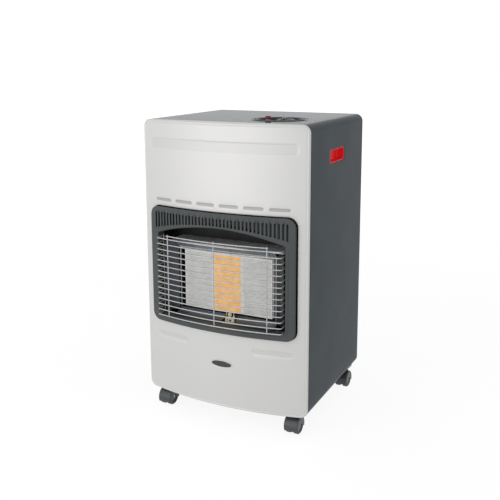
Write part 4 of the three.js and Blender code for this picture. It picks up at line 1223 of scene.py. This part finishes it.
class HEATER_OT_plaques(bpy.types.Operator):
    """Build the three ceramic plaques, each with its rows of small holes inside a plain border"""

    bl_idname = "heater.plaques"
    bl_label = "Plaques"

    def execute(self, context):
        sizes = context.scene.heater_sizes
        for place, name in ((-1, "left"), (0, "centre"), (1, "right")):
            piece = Surface("tile_" + name)
            self.tile(piece, place * PLAQUE_PITCH, sizes.columns, sizes.rows, sizes.hole / MM)
            look = "glowing_ceramic" if name == "centre" else "ceramic"
            piece.make("cabinet", ["plaque_" + name], look, [look, "ceramic"])
        return {"FINISHED"}

    def tile(self, piece, x, columns, rows, hole):
        """One eight-sided cell round a tapered hole, repeated over the face, then the border and sides."""
        margin, deep, taper = 3.0, 2.2, 0.92
        box = np.array([x - PLAQUE_W / 2, PLAQUE_Z[0], x + PLAQUE_W / 2, PLAQUE_Z[1]])
        us, vs = (np.linspace(box[i] + margin, box[i + 2] - margin, 2 * count + 1)
                  for i, count in enumerate((columns, rows)))
        square = np.array([(-1, -1), (0, -1), (1, -1), (1, 0), (1, 1), (0, 1), (-1, 1), (-1, 0)])
        square = square * [us[1] - us[0], vs[1] - vs[0]]
        circle = arc((0, 0), hole, -135, 180, 7)
        cell = np.stack([square, circle, circle * taper, circle * 0])
        depth = np.array([0.0, 0.0, deep, deep])[:, None]
        centres = np.stack(np.meshgrid(us[1::2], vs[1::2], indexing="ij"), -1).reshape(-1, 1, 1, 2)
        # The hole's depth, as a share, becomes painted shade inside the hole.
        piece.patch(across_y(centres + cell, PLAQUE_Y + depth), wrap=True, value=depth / deep)
        middle, half = (box[:2] + box[2:]) / 2, (box[2:] - box[:2]) / 2
        rim = border(us, vs)
        at = lambda inset: middle + (rim - middle) * (half - inset) / (half - margin)
        turns = [(margin, 0.0), (0.7, 0.0), (0.2, 0.2), (0, 0.7), (0, PLAQUE_DEEP)]
        loops = [across_y(at(inset), PLAQUE_Y + depth) for inset, depth in turns]
        piece.patch(np.stack(loops), wrap=True, slot=1)


class HEATER_OT_burner(bpy.types.Operator):
    """Build the polished frame and the reflectors round the plaques, and finish the burner behind them"""

    bl_idname = "heater.burner"
    bl_label = "Burner"

    def execute(self, context):
        self.frame()
        self.hood()
        self.lower()
        self.flanks()
        coat("dark_steel", "burner_housing", "burner_body")
        return {"FINISHED"}

    def frame(self):
        """A section of inset and y, carried round a rectangle with mitred corners."""
        section = np.array([(0, 30), (0, 15.8), (0.3, 15.2), (0.9, 15), (3.6, 15), (3.8, 15.3), (3.8, 16.4),
                            (1.2, 16.4), (1.2, 30)])
        x0, z0, x1, z1 = MASK_BOX
        corners = np.array([(x0, z0), (x1, z0), (x1, z1), (x0, z1)])
        inward = np.array([(1, 1), (-1, 1), (-1, -1), (1, -1)])
        loops = corners + inward * section[:, :1, None]
        mask = Surface("plaque_frame")
        mask.patch(across_y(loops, section[:, 1:]), wrap=True, wrap_rows=True)
        mask.make("cabinet", ["burner_mask"], "polished_steel")

    def hood(self):
        """The hood's folded front with its three seams, and the level shelf behind it, over the plaques."""
        hood = Surface("hood_strip")
        line = filleted([(13.9, 411.3), (13.9, 413), (3.1, 424.4)], [0, 1.5, 0], 4)
        hood.folded(line, FOLD, -128, 128)
        for x in (-89.0, 11.0, 111.0):
            hood.folded(line - [1.0, 0.3], 0.9, x - 1.2, x + 1.2)
        hood.make("cabinet", [], "polished_steel", ["soft_steel"])
        shelf = Surface("hood_shelf")
        shelf.folded([(2.6, 425.6), (66.3, 425.6)], FOLD, -150, 150)
        shelf.make("cabinet", ["reflector_upper"], "polished_steel", ["shelf_paint"])

    def lower(self):
        """The lower reflector, in two lengths beside the pilot: a sagging parabola that rises to the
        back, darker towards its front edge."""
        share = np.linspace(0, 1, 13)
        line = np.stack([-12 + 26.5 * share, 249.6 + 7 * share - 8 * share * (1 - share)], -1)
        front_darkening = np.concatenate([1 - share, share]) ** 0.6
        lower = Surface("lower_reflector")
        for x0, x1 in ((-128, -4), (28, 128)):
            lower.folded(line, FOLD, x0, x1, value=front_darkening)
        lower.make("cabinet", ["reflector_lower"], "polished_steel", ["soft_steel"])

    def flanks(self):
        """The side reflectors: a shallow parabola in plan, from the mask out to the window's side."""
        share = np.linspace(0, 1, 13)
        y = 14.2 - 22 * share + 14 * share * (1 - share)
        for side, name in ((-1, "left"), (1, "right")):
            flank = Surface("side_reflector_" + name)
            flank.folded(np.stack([side * (129 + 25 * share), y], -1), FOLD, 254.2, 424.4, axis="z")
            # Their dark finish is painted shade.
            flank.make("cabinet", ["reflector_" + name], "polished_steel", ["dim_steel"])


PILOT_Y, PILOT_FOOT = 7.4, 241.0
# Each rod's piece, node, x, profile of [radius, height] points, and slot.
PILOT_RODS = [
    ("pilot_jet", "pilot_burner", 11.0,
     [(0, 0), (3.2, 0), (3.2, 17), (4.4, 18.2), (4.4, 24), (2.2, 27), (0, 27)], "cream_ceramic"),
    ("pilot_spark", "spark_electrode", 21.0,
     [(0, 0), (2.6, 0), (2.6, 19), (0.9, 20.4), (0.9, 30), (0, 30)], "cream_ceramic"),
    ("pilot_sensor", "thermocouple", 2.5, [(0, 0), (2, 0), (2, 21), (1.2, 27), (0, 28)], "brass"),
]
BLOCK_BOX, BLOCK_R = (1.5, 246.0, 25.0, 257.5), 3.0
BLOCK_EYES = [(7.5, 252.6, 1.9), (15.0, 251.8, 3.3)]  # x, z and radius


class HEATER_OT_pilot(bpy.types.Operator):
    """Build the pilot's jet, spark electrode, thermocouple and block, and finish their bracket"""

    bl_idname = "heater.pilot"
    bl_label = "Pilot"

    def execute(self, context):
        for name, node, x, profile, slot in PILOT_RODS:
            rod = Surface(name)
            rod.turned(filleted(profile, 0.5, 3), (x, PILOT_Y, PILOT_FOOT), sides=20)
            rod.make("cabinet", [node], slot)
        self.block()
        coat("polished_steel", "pilot_bracket")
        return {"FINISHED"}

    def block(self):
        """A small round-cornered plate with an eased front edge, and a raised ring round each dark eye."""
        block = Surface("pilot_block")
        loop = rounded_loop(BLOCK_BOX, BLOCK_R, 6)
        at = lambda inset: rounded(loop, BLOCK_BOX, BLOCK_R, inset)
        rows = [across_y(at(inset), y) for y, inset in ((2.2, 0), (0.8, 0), (0.6, 0.2))]
        block.patch(np.stack(rows), wrap=True)
        for x, z, r in BLOCK_EYES:
            ring, eye = [(r, 1.2), (r, 0.3), (r - 0.5, 0.3)], [(r - 0.5, 0.3), (r - 0.5, 0.55), (0, 0.55)]
            for slot, profile in enumerate((ring, eye)):
                block.turned(profile, (x, 0, z), axis="y", sides=24, slot=slot)
        block.make("cabinet", [], "cream_ceramic", ["cream_ceramic", "dark_steel"])


# ---- controls -----------------------------------------------------------------------------------------
KNOB_AT = (100.0, 122.0)
KNOB_TOP = 716.0
IGNITER_AT = (77.0, 75.0)
DISH_FLOOR = 695.0
SCALE_START, SCALE_END = 190.0, 350.0  # the dial's span round the knob, in degrees
NUMBERS_AT = (SCALE_START, 243.3, 296.7, SCALE_END)


class HEATER_OT_controls(bpy.types.Operator):
    """Build the sunk dish with its printed scale, the knob and the igniter with its red button"""

    bl_idname = "heater.controls"
    bl_label = "Controls"

    def execute(self, context):
        self.dish()
        self.knob()
        self.ticks()
        self.numbers()
        self.igniter()
        return {"FINISHED"}

    def dish(self):
        """A well with a rolled rim, turned round its middle."""
        profile = [(0, 693.5), (52, 693.5), (52, 712.3), (57.5, 712.3), (57.2, 713.2), (54.5, 713.6),
                   (51.6, 713.5), (50.5, 712.4), (49.6, 699.5), (45.5, 695.1), (0, DISH_FLOOR)]
        dish = Surface("dish")
        dish.turned(filleted(profile, [0, 1, 0, 0.3, 0.6, 1.5, 1, 1, 3, 3, 0], 4), (*DISH_AT, 0), sides=96)
        dish.make("cabinet", ["control_dish"], "black_plastic")

    def knob(self):
        """A polar grid: the skirt's and crown's height over the radius, plus the ridge of the finger bar,
        which is a stadium with soft sides."""
        radius = np.concatenate([[0], np.linspace(1, 19, 22), [20, 21, 22, 23, 23.6, 23.9, 24, 24]])
        crown = np.interp(radius, [0, 19, 20.5, 21.4, 22.4, 24], [712, 712, 711.4, 710, 706.6, 706])
        crown[-3:] = 705.7, 705, 701
        a = angles(96)
        x, y = radius[:, None] * np.cos(a), radius[:, None] * np.sin(a)
        ridge = stadium(y, x, 0, 0, 40, 9.4, 1.8)
        ridge[-4:] = 0
        z = crown[:, None] + (KNOB_TOP - crown[:, None]) * ridge
        knob = Surface("knob_cap")
        knob.patch(np.stack([KNOB_AT[0] + x, KNOB_AT[1] + y, z], -1), wrap=True)
        knob.make("knob", ["control_knob"], "black_plastic", ["knob_plastic"], crease=45)

    def ticks(self):
        """Flat bars in a fan on the dish's floor in front of the knob, every fourth one longer."""
        start, half = 25.6, 0.35
        marks = Surface("scale_ticks")
        for i, a in enumerate(np.radians(np.linspace(SCALE_START, SCALE_END, 13))):
            out, side = np.array([math.cos(a), math.sin(a)]), np.array([-math.sin(a), math.cos(a)])
            end = start + (4.2 if i % 4 == 0 else 2.6)
            corners = ((start, -half), (end, -half), (end, half), (start, half))
            flat = np.array([KNOB_AT + out * r + side * w for r, w in corners])
            rows = [np.insert(flat, 2, DISH_FLOOR + lift, axis=-1) for lift in (0.02, 0.14)]
            marks.patch(np.stack(rows), wrap=True)
        marks.make("cabinet", [], "black_plastic", ["white_print"])

    def numbers(self):
        """The numbers 0 to 3 as thin raised text, outside the longer ticks."""
        for i, a in enumerate(np.radians(NUMBERS_AT)):
            name = f"scale_number_{i}"
            curve = bpy.data.curves.new(name, "FONT")
            curve.body = str(i)
            curve.size = 6.2 * MM
            curve.extrude = 0.06 * MM
            curve.align_x, curve.align_y = "CENTER", "CENTER"
            text = linked(name, curve)
            depsgraph = bpy.context.evaluated_depsgraph_get()
            mesh = bpy.data.meshes.new_from_object(text.evaluated_get(depsgraph))
            bpy.data.objects.remove(text)
            x, y = KNOB_AT + 33.5 * np.array([math.cos(a), math.sin(a)])
            mesh.transform(Matrix.Translation(in_frame((x, y, DISH_FLOOR + 0.08))))
            mesh.materials.clear()
            mesh.materials.append(finish("white_print"))
            number = linked(name, mesh)
            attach(number, "cabinet")

    def igniter(self):
        """The igniter's collar, and in it the button: a plated skirt under a red crown."""
        collar = Surface("igniter_collar")
        profile = [(0, 630), (7.8, 630), (7.8, 695.3), (8.8, 695.3), (8.8, 710), (6.9, 710), (6.7, 692),
                   (3.9, 692), (3.7, 670), (0, 670)]
        eased = filleted(profile, [0, 0.8, 0, 0, 0.6, 0.6, 0, 0, 0, 0], 3)
        collar.turned(eased, (*IGNITER_AT, 0), sides=40)
        collar.make("cabinet", ["igniter_body"], "black_plastic")
        button = Surface("igniter_cap")
        skirt = [(0, 678), (3.5, 678), (3.5, 700), (6.5, 700), (6.5, 714)]
        button.turned(filleted(skirt, [0, 0.5, 0, 0.4, 0], 4), (*IGNITER_AT, 0), sides=40, slot=1)
        crown = [(6.5, 714), (6.3, 714.1), (6.3, 714.5), (6.5, 714.6), (6.5, 722), (0, 722)]
        button.turned(filleted(crown, [0, 0, 0, 0, 2.4, 0], 6), (*IGNITER_AT, 0), sides=40)
        button.make("button", ["igniter_button"], "red_plastic", ["button_plastic", "zinc"])


class HEATER_OT_gas_train(bpy.types.Operator):
    """Finish the valve, pipe, injector and the parts that hold them"""

    bl_idname = "heater.gas_train"
    bl_label = "Gas train"

    def execute(self, context):
        coat("brass", "gas_injector", "gas_pipe", "gas_valve", "hose_inlet", "valve_rotor")
        coat("polished_steel", "valve_spindle", "venturi_tube")
        coat("dark_steel", "valve_bracket")
        return {"FINISHED"}


# ---- rear cover ---------------------------------------------------------------------------------------
COVER_INSET = 1.8
COVER_BOX = (COVER_INSET - HALF, BASE + COVER_INSET, HALF - COVER_INSET, TOP - COVER_INSET)
COVER_R = CORNER - COVER_INSET
COVER_Y, COVER_RIM = 346.7, 350.5
COVER_MARGIN = 9.0  # the strip outside the grid, for the rim
VENTS = [(x, z) for z in (110.0, 126.0, 590.0, 606.0) for x in (-105.0, -35.0, 35.0, 105.0)]
VENT_HALF, VENT_R = 28.0, 2.5
PULL_BOX, PULL_R = (-50.0, 642.0, 50.0, 670.0), 8.0
PULL_CELLS = (-60.0, 634.0, 60.0, 678.0)
SCREW_X, SCREW_Z = (-196.0, 196.0), (96.0, 380.0, 664.0)


class HEATER_OT_cover(bpy.types.Operator):
    """Build the rear cover: a rimmed sheet with four rows of slots and a pull pocket, and its screws"""

    bl_idname = "heater.cover"
    bl_label = "Rear cover"

    def execute(self, context):
        xs, zs = self.grid_lines()
        cover = Surface("cover_sheet")
        self.sheet(cover, xs, zs)
        self.rim(cover, border(xs, zs))
        mouth = gap_border(xs, zs, PULL_CELLS)
        self.pull(cover, mouth)
        cover.make("cover", ["rear_cover"], "charcoal_paint", crease=40, sheet=SHEET, inside=(0, 0, 380))
        floor = Surface("pull_floor")
        ring = rounded(mouth, PULL_BOX, PULL_R, 3.6)
        floor.patch(np.stack([across_y(ring, 330.2), across_y(ring, 330.9)]), wrap=True)
        floor.make("cover", [], "charcoal_paint")
        self.screws()
        return {"FINISHED"}

    def grid_lines(self):
        """Lines of x and of z through the slots' round ends, the corners' fans and the pull's cells."""
        x0, z0, x1, z1 = PULL_CELLS
        half, radius = COVER_BOX[2] - COVER_MARGIN, COVER_R - COVER_MARGIN
        low, high = COVER_BOX[1] + COVER_MARGIN, COVER_BOX[3] - COVER_MARGIN
        bend = VENT_R - VENT_R * np.cos(np.radians(np.linspace(0, 90, 5)))
        slot_x = np.unique([x + s * (VENT_HALF - b) for x, _ in VENTS for s in (-1, 1) for b in bend])
        slot_z = np.unique([z + s * VENT_R for _, z in VENTS for s in (-1, 1)])
        xs = lines(-half, half, 20, [], [*slot_x, *corner_fans(-half, half, radius, 5), x0, x1])
        zs = lines(low, high, 20, [], [*slot_z, *corner_fans(low, high, radius, 5), z0, z1])
        return xs, zs

    def sheet(self, cover, xs, zs):
        """The face. The grid's rows along each slot are bent to half circles at its ends."""
        grid = np.stack(np.meshgrid(xs, zs, indexing="ij"), -1)
        keep = outside(xs, zs, PULL_CELLS)
        for x, z in VENTS:
            keep &= outside(xs, zs, (x - VENT_HALF, z - VENT_R, x + VENT_HALF, z + VENT_R))
            along = np.abs(xs - x)
            near = along <= VENT_HALF + 1e-6
            lift = np.sqrt(np.maximum(VENT_R**2 - np.maximum(along - VENT_HALF + VENT_R, 0) ** 2, 0))
            for s in (-1, 1):
                row = np.abs(zs - z - s * VENT_R) < 1e-6
                grid[np.ix_(near, row, [1])] = (z + s * lift[near])[:, None, None]
        cover.patch(across_y(grid, COVER_Y), keep=keep)

    def rim(self, cover, loop):
        """A round edge that turns back to the rim."""
        at = lambda inset: rounded(loop, COVER_BOX, COVER_R, inset)
        turns = [(3.4, 0), (2.3, 0.2), (1.4, 0.9), (1.2, 2.0), (1.2, COVER_RIM - COVER_Y)]
        rows = [across_y(loop, COVER_Y)] + [across_y(at(inset), COVER_Y + back) for inset, back in turns]
        cover.patch(np.stack(rows), wrap=True)

    def pull(self, cover, mouth):
        """The pocket's eased edge and its wall down to the floor."""
        at = lambda inset: rounded(mouth, PULL_BOX, PULL_R, inset)
        turns = [(-2.4, 0), (-0.8, 0.3), (0.2, 1.4), (0.8, 12.7), (1.8, 15.1), (4.0, 15.9)]
        rows = [across_y(mouth, COVER_Y)] + [across_y(at(inset), COVER_Y - deep) for inset, deep in turns]
        cover.patch(np.stack(rows), wrap=True)

    def screws(self):
        """Three domed heads up each side."""
        head = filleted([(0, 0), (4.0, 0), (4.0, 0.8), (3.2, 1.9), (1.6, 2.4), (0, 2.5)], 0.5, 3)
        screws = Surface("cover_screws")
        for x in SCREW_X:
            for z in SCREW_Z:
                screws.turned(head, (x, COVER_Y, z), axis="y", sides=20)
        screws.make("cover", [], "charcoal_paint", ["zinc"])


# ---- casters ------------------------------------------------------------------------------------------
CASTERS = {
    "front_left": (-170.0, 34.0),
    "front_right": (170.0, 34.0),
    "rear_left": (-187.0, 321.0),
    "rear_right": (187.0, 321.0),
}
TRAIL = 15.0  # from the stem forward to the axle
WHEEL_R = 20.0
WHEEL_NEAR, WHEEL_FAR = 3.5, 16.0  # a wheel's two sides, from the caster's middle


class HEATER_OT_casters(bpy.types.Operator):
    """Build the four twin-wheel casters: round-edged hoods and wheels"""

    bl_idname = "heater.casters"
    bl_label = "Casters"

    def execute(self, context):
        for tag, (x, y) in CASTERS.items():
            self.hood(tag, x, y)
            for side, name in ((-1, "left"), (1, "right")):
                self.wheel(tag, x, y, side, name)
            coat("zinc", "caster_mount_" + tag, "caster_axle_" + tag)
        return {"FINISHED"}

    def hood(self, tag, x, y):
        """The hood's section, across the two wheels, turned about the axle over the part that it covers,
        and the boss round the stem."""
        half = [(0, 22), (16.2, 22), (17.5, 20), (17.5, 5), (16.1, 5), (16.1, 20.4), (3.0, 20.4),
                (3.0, 6), (0, 6)]
        curve = filleted(half, [0, 1.6, 1.6, 1.2, 0, 0.6, 0.6, 0.8, 0], 3)
        across, out = np.concatenate([curve, (curve * [-1, 1])[-2:0:-1]]).T
        a = np.radians(np.linspace(-22, 206, 39))[:, None]
        points = np.broadcast_arrays(x + across, y - TRAIL + out * np.cos(a), WHEEL_R + out * np.sin(a))
        hood = Surface("hood_" + tag)
        hood.patch(np.stack(points, -1), wrap=True)
        boss = [(0, 22), (9, 22), (9, 46.2), (5.4, 46.2), (5.4, 40), (0, 40)]
        hood.turned(filleted(boss, [0, 1, 1, 0, 0, 0], 3), (x, y, 0), sides=32)
        hood.make("fork_" + tag, ["caster_hood_" + tag], "caster_plastic")

    def wheel(self, tag, x, y, side, name):
        """A tread with rounded shoulders, a sunk web and a hub, turned about the axle."""
        near, far = WHEEL_NEAR, WHEEL_FAR
        tread = [(3.15, near), (17.5, near), (WHEEL_R, near + 1.6), (WHEEL_R, far - 2.2), (17.8, far),
                 (14, far), (13, far - 1.6), (6.5, far - 1.6), (6.0, far), (3.15, far)]
        section = filleted(tread, [0, 0.6, 1.4, 1.6, 0.8, 0.5, 0.5, 0.4, 0.4, 0], 3) * [1, side]
        wheel = Surface(f"roller_{tag}_{name}")
        wheel.turned(section, (x, y - TRAIL, WHEEL_R), axis="x", closed=True)
        wheel.make("wheels_" + tag, [f"wheel_{tag}_{name}"], "wheel_plastic")


# ---- stage --------------------------------------------------------------------------------------------
PHOTO_PIXELS = 500
FOCAL_PIXELS = 736.38
SENSOR = 36.0  # in millimetres
CAMERA_AT = (0.78326, -1.58525, 0.84716)
CAMERA_AIM = (0.06783, -0.14975, 0.55383)
CAMERA_ROLL = -0.204  # in degrees
CAMERA_SHIFT = -0.1115
FLOOR_REACH = 60.0


def aimed(place, aim, roll=0.0):
    """A matrix that stands at a place and looks at another, turned about its own line of sight."""
    facing = (Vector(aim) - Vector(place)).to_track_quat("-Z", "Y")
    turned = facing @ Quaternion((0, 0, 1), roll)
    return Matrix.Translation(place) @ turned.to_matrix().to_4x4()


class HEATER_OT_stage(bpy.types.Operator):
    """Set the camera, the pale floor and the soft studio light"""

    bl_idname = "heater.stage"
    bl_label = "Stage"

    def execute(self, context):
        scene = context.scene
        scene.view_settings.view_transform = "Standard"
        self.camera(scene)
        self.floor()
        self.world(scene)
        self.lamp("key", (-0.9, -2.5, 0.4), (0, -0.15, 0.35), (2.0, 0.8), 11.0)
        self.lamp("over", (-0.9, -2.0, 1.75), (0, 0, 0.4), (1.4, 1.0), 8.0)
        return {"FINISHED"}

    def camera(self, scene):
        """The camera as fitted to the photo's edges: its place, its aim and its focal length in pixels."""
        data = bpy.data.cameras.new("camera")
        data.sensor_fit = "HORIZONTAL"
        data.sensor_width = SENSOR
        data.lens = SENSOR * FOCAL_PIXELS / PHOTO_PIXELS
        data.shift_y = CAMERA_SHIFT
        data.clip_end = 50
        scene.camera = linked("camera", data)
        scene.camera.matrix_world = aimed(CAMERA_AT, CAMERA_AIM, math.radians(CAMERA_ROLL))

    def seen(self, f):
        """1 for what the camera, a mirror or glass sees, 0 for light that falls on things."""
        path = f.add("ShaderNodeLightPath").outputs
        names = ("Is Camera Ray", "Is Glossy Ray", "Is Transmission Ray")
        camera, glossy, glass = (Number(f, path[name]) for name in names)
        return camera.most(glossy).most(glass)

    def floor(self):
        """A wide floor that looks white where it is seen and still takes the object's soft shadow."""
        mesh = bpy.data.meshes.new("floor")
        corners = [(x * FLOOR_REACH, y * FLOOR_REACH, 0) for x, y in ((-1, -1), (1, -1), (1, 1), (-1, 1))]
        mesh.from_pydata(corners, [], [(0, 1, 2, 3)])
        white = bpy.data.materials.new(PREFIX + "floor_white")
        mesh.materials.append(white)
        f = Nodes(white)
        diffuse = f.add("ShaderNodeBsdfDiffuse", None, {"Color": (0.9, 0.9, 0.9, 1)})
        glow = f.add("ShaderNodeEmission", None, {"Color": (1, 1, 1, 1), "Strength": 1.1})
        x, y, _ = f.parts()
        share = self.seen(f) * (0.82 + 0.18 * (x * x + y * y).ease(1.0, 9.0))
        both = f.add("ShaderNodeMixShader", None, [share, diffuse.outputs[0], glow.outputs[0]])
        f.add("ShaderNodeOutputMaterial", None, [both.outputs[0]])
        linked("floor", mesh)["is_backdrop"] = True

    def world(self, scene):
        """A white room to look at, whose light on the object is weaker and a little cool."""
        scene.world = bpy.data.worlds.new("studio")
        f = Nodes(scene.world)
        lit = f.add("ShaderNodeBackground", None, {"Color": (0.97, 0.985, 1.0, 1), "Strength": 0.54})
        plain = f.add("ShaderNodeBackground", None, {"Color": (1, 1, 1, 1), "Strength": 1.0})
        both = f.add("ShaderNodeMixShader", None, [self.seen(f), lit.outputs[0], plain.outputs[0]])
        f.add("ShaderNodeOutputWorld", None, [both.outputs[0]])

    def lamp(self, name, place, aim, size, power):
        data = bpy.data.lights.new(name, "AREA")
        data.shape = "RECTANGLE"
        data.size, data.size_y = size
        data.energy = power
        linked(name, data).matrix_world = aimed(place, aim)


# ---- the add-on ---------------------------------------------------------------------------------------
STEPS = (
    HEATER_OT_cabinet,
    HEATER_OT_grips,
    HEATER_OT_front,
    HEATER_OT_badge,
    HEATER_OT_bezel,
    HEATER_OT_guard,
    HEATER_OT_plaques,
    HEATER_OT_burner,
    HEATER_OT_pilot,
    HEATER_OT_controls,
    HEATER_OT_gas_train,
    HEATER_OT_cover,
    HEATER_OT_casters,
    HEATER_OT_stage,
)


class HEATER_PT_panel(bpy.types.Panel):
    """The heater's pieces, sizes and colours"""

    bl_idname = "HEATER_PT_panel"
    bl_label = "Gas cabinet heater"
    bl_space_type = "VIEW_3D"
    bl_region_type = "UI"
    bl_category = "Heater"

    def draw(self, context):
        for group in (context.scene.heater_sizes, context.scene.heater_colours):
            for name in group.__annotations__:
                self.layout.prop(group, name)
        for step in STEPS:
            self.layout.operator(step.bl_idname)


CLASSES = (HeaterColours, HeaterSizes, *STEPS, HEATER_PT_panel)


def register():
    for cls in CLASSES:
        bpy.utils.register_class(cls)
    bpy.types.Scene.heater_colours = PointerProperty(type=HeaterColours)
    bpy.types.Scene.heater_sizes = PointerProperty(type=HeaterSizes)


def unregister():
    del bpy.types.Scene.heater_sizes
    del bpy.types.Scene.heater_colours
    for cls in reversed(CLASSES):
        bpy.utils.unregister_class(cls)


def main():
    register()
    for step in STEPS:
        group, name = step.bl_idname.split(".")
        getattr(getattr(bpy.ops, group), name)()
    bpy.context.view_layer.update()
    made = [list(corner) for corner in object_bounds()]


if __name__ == "__main__":
    main()
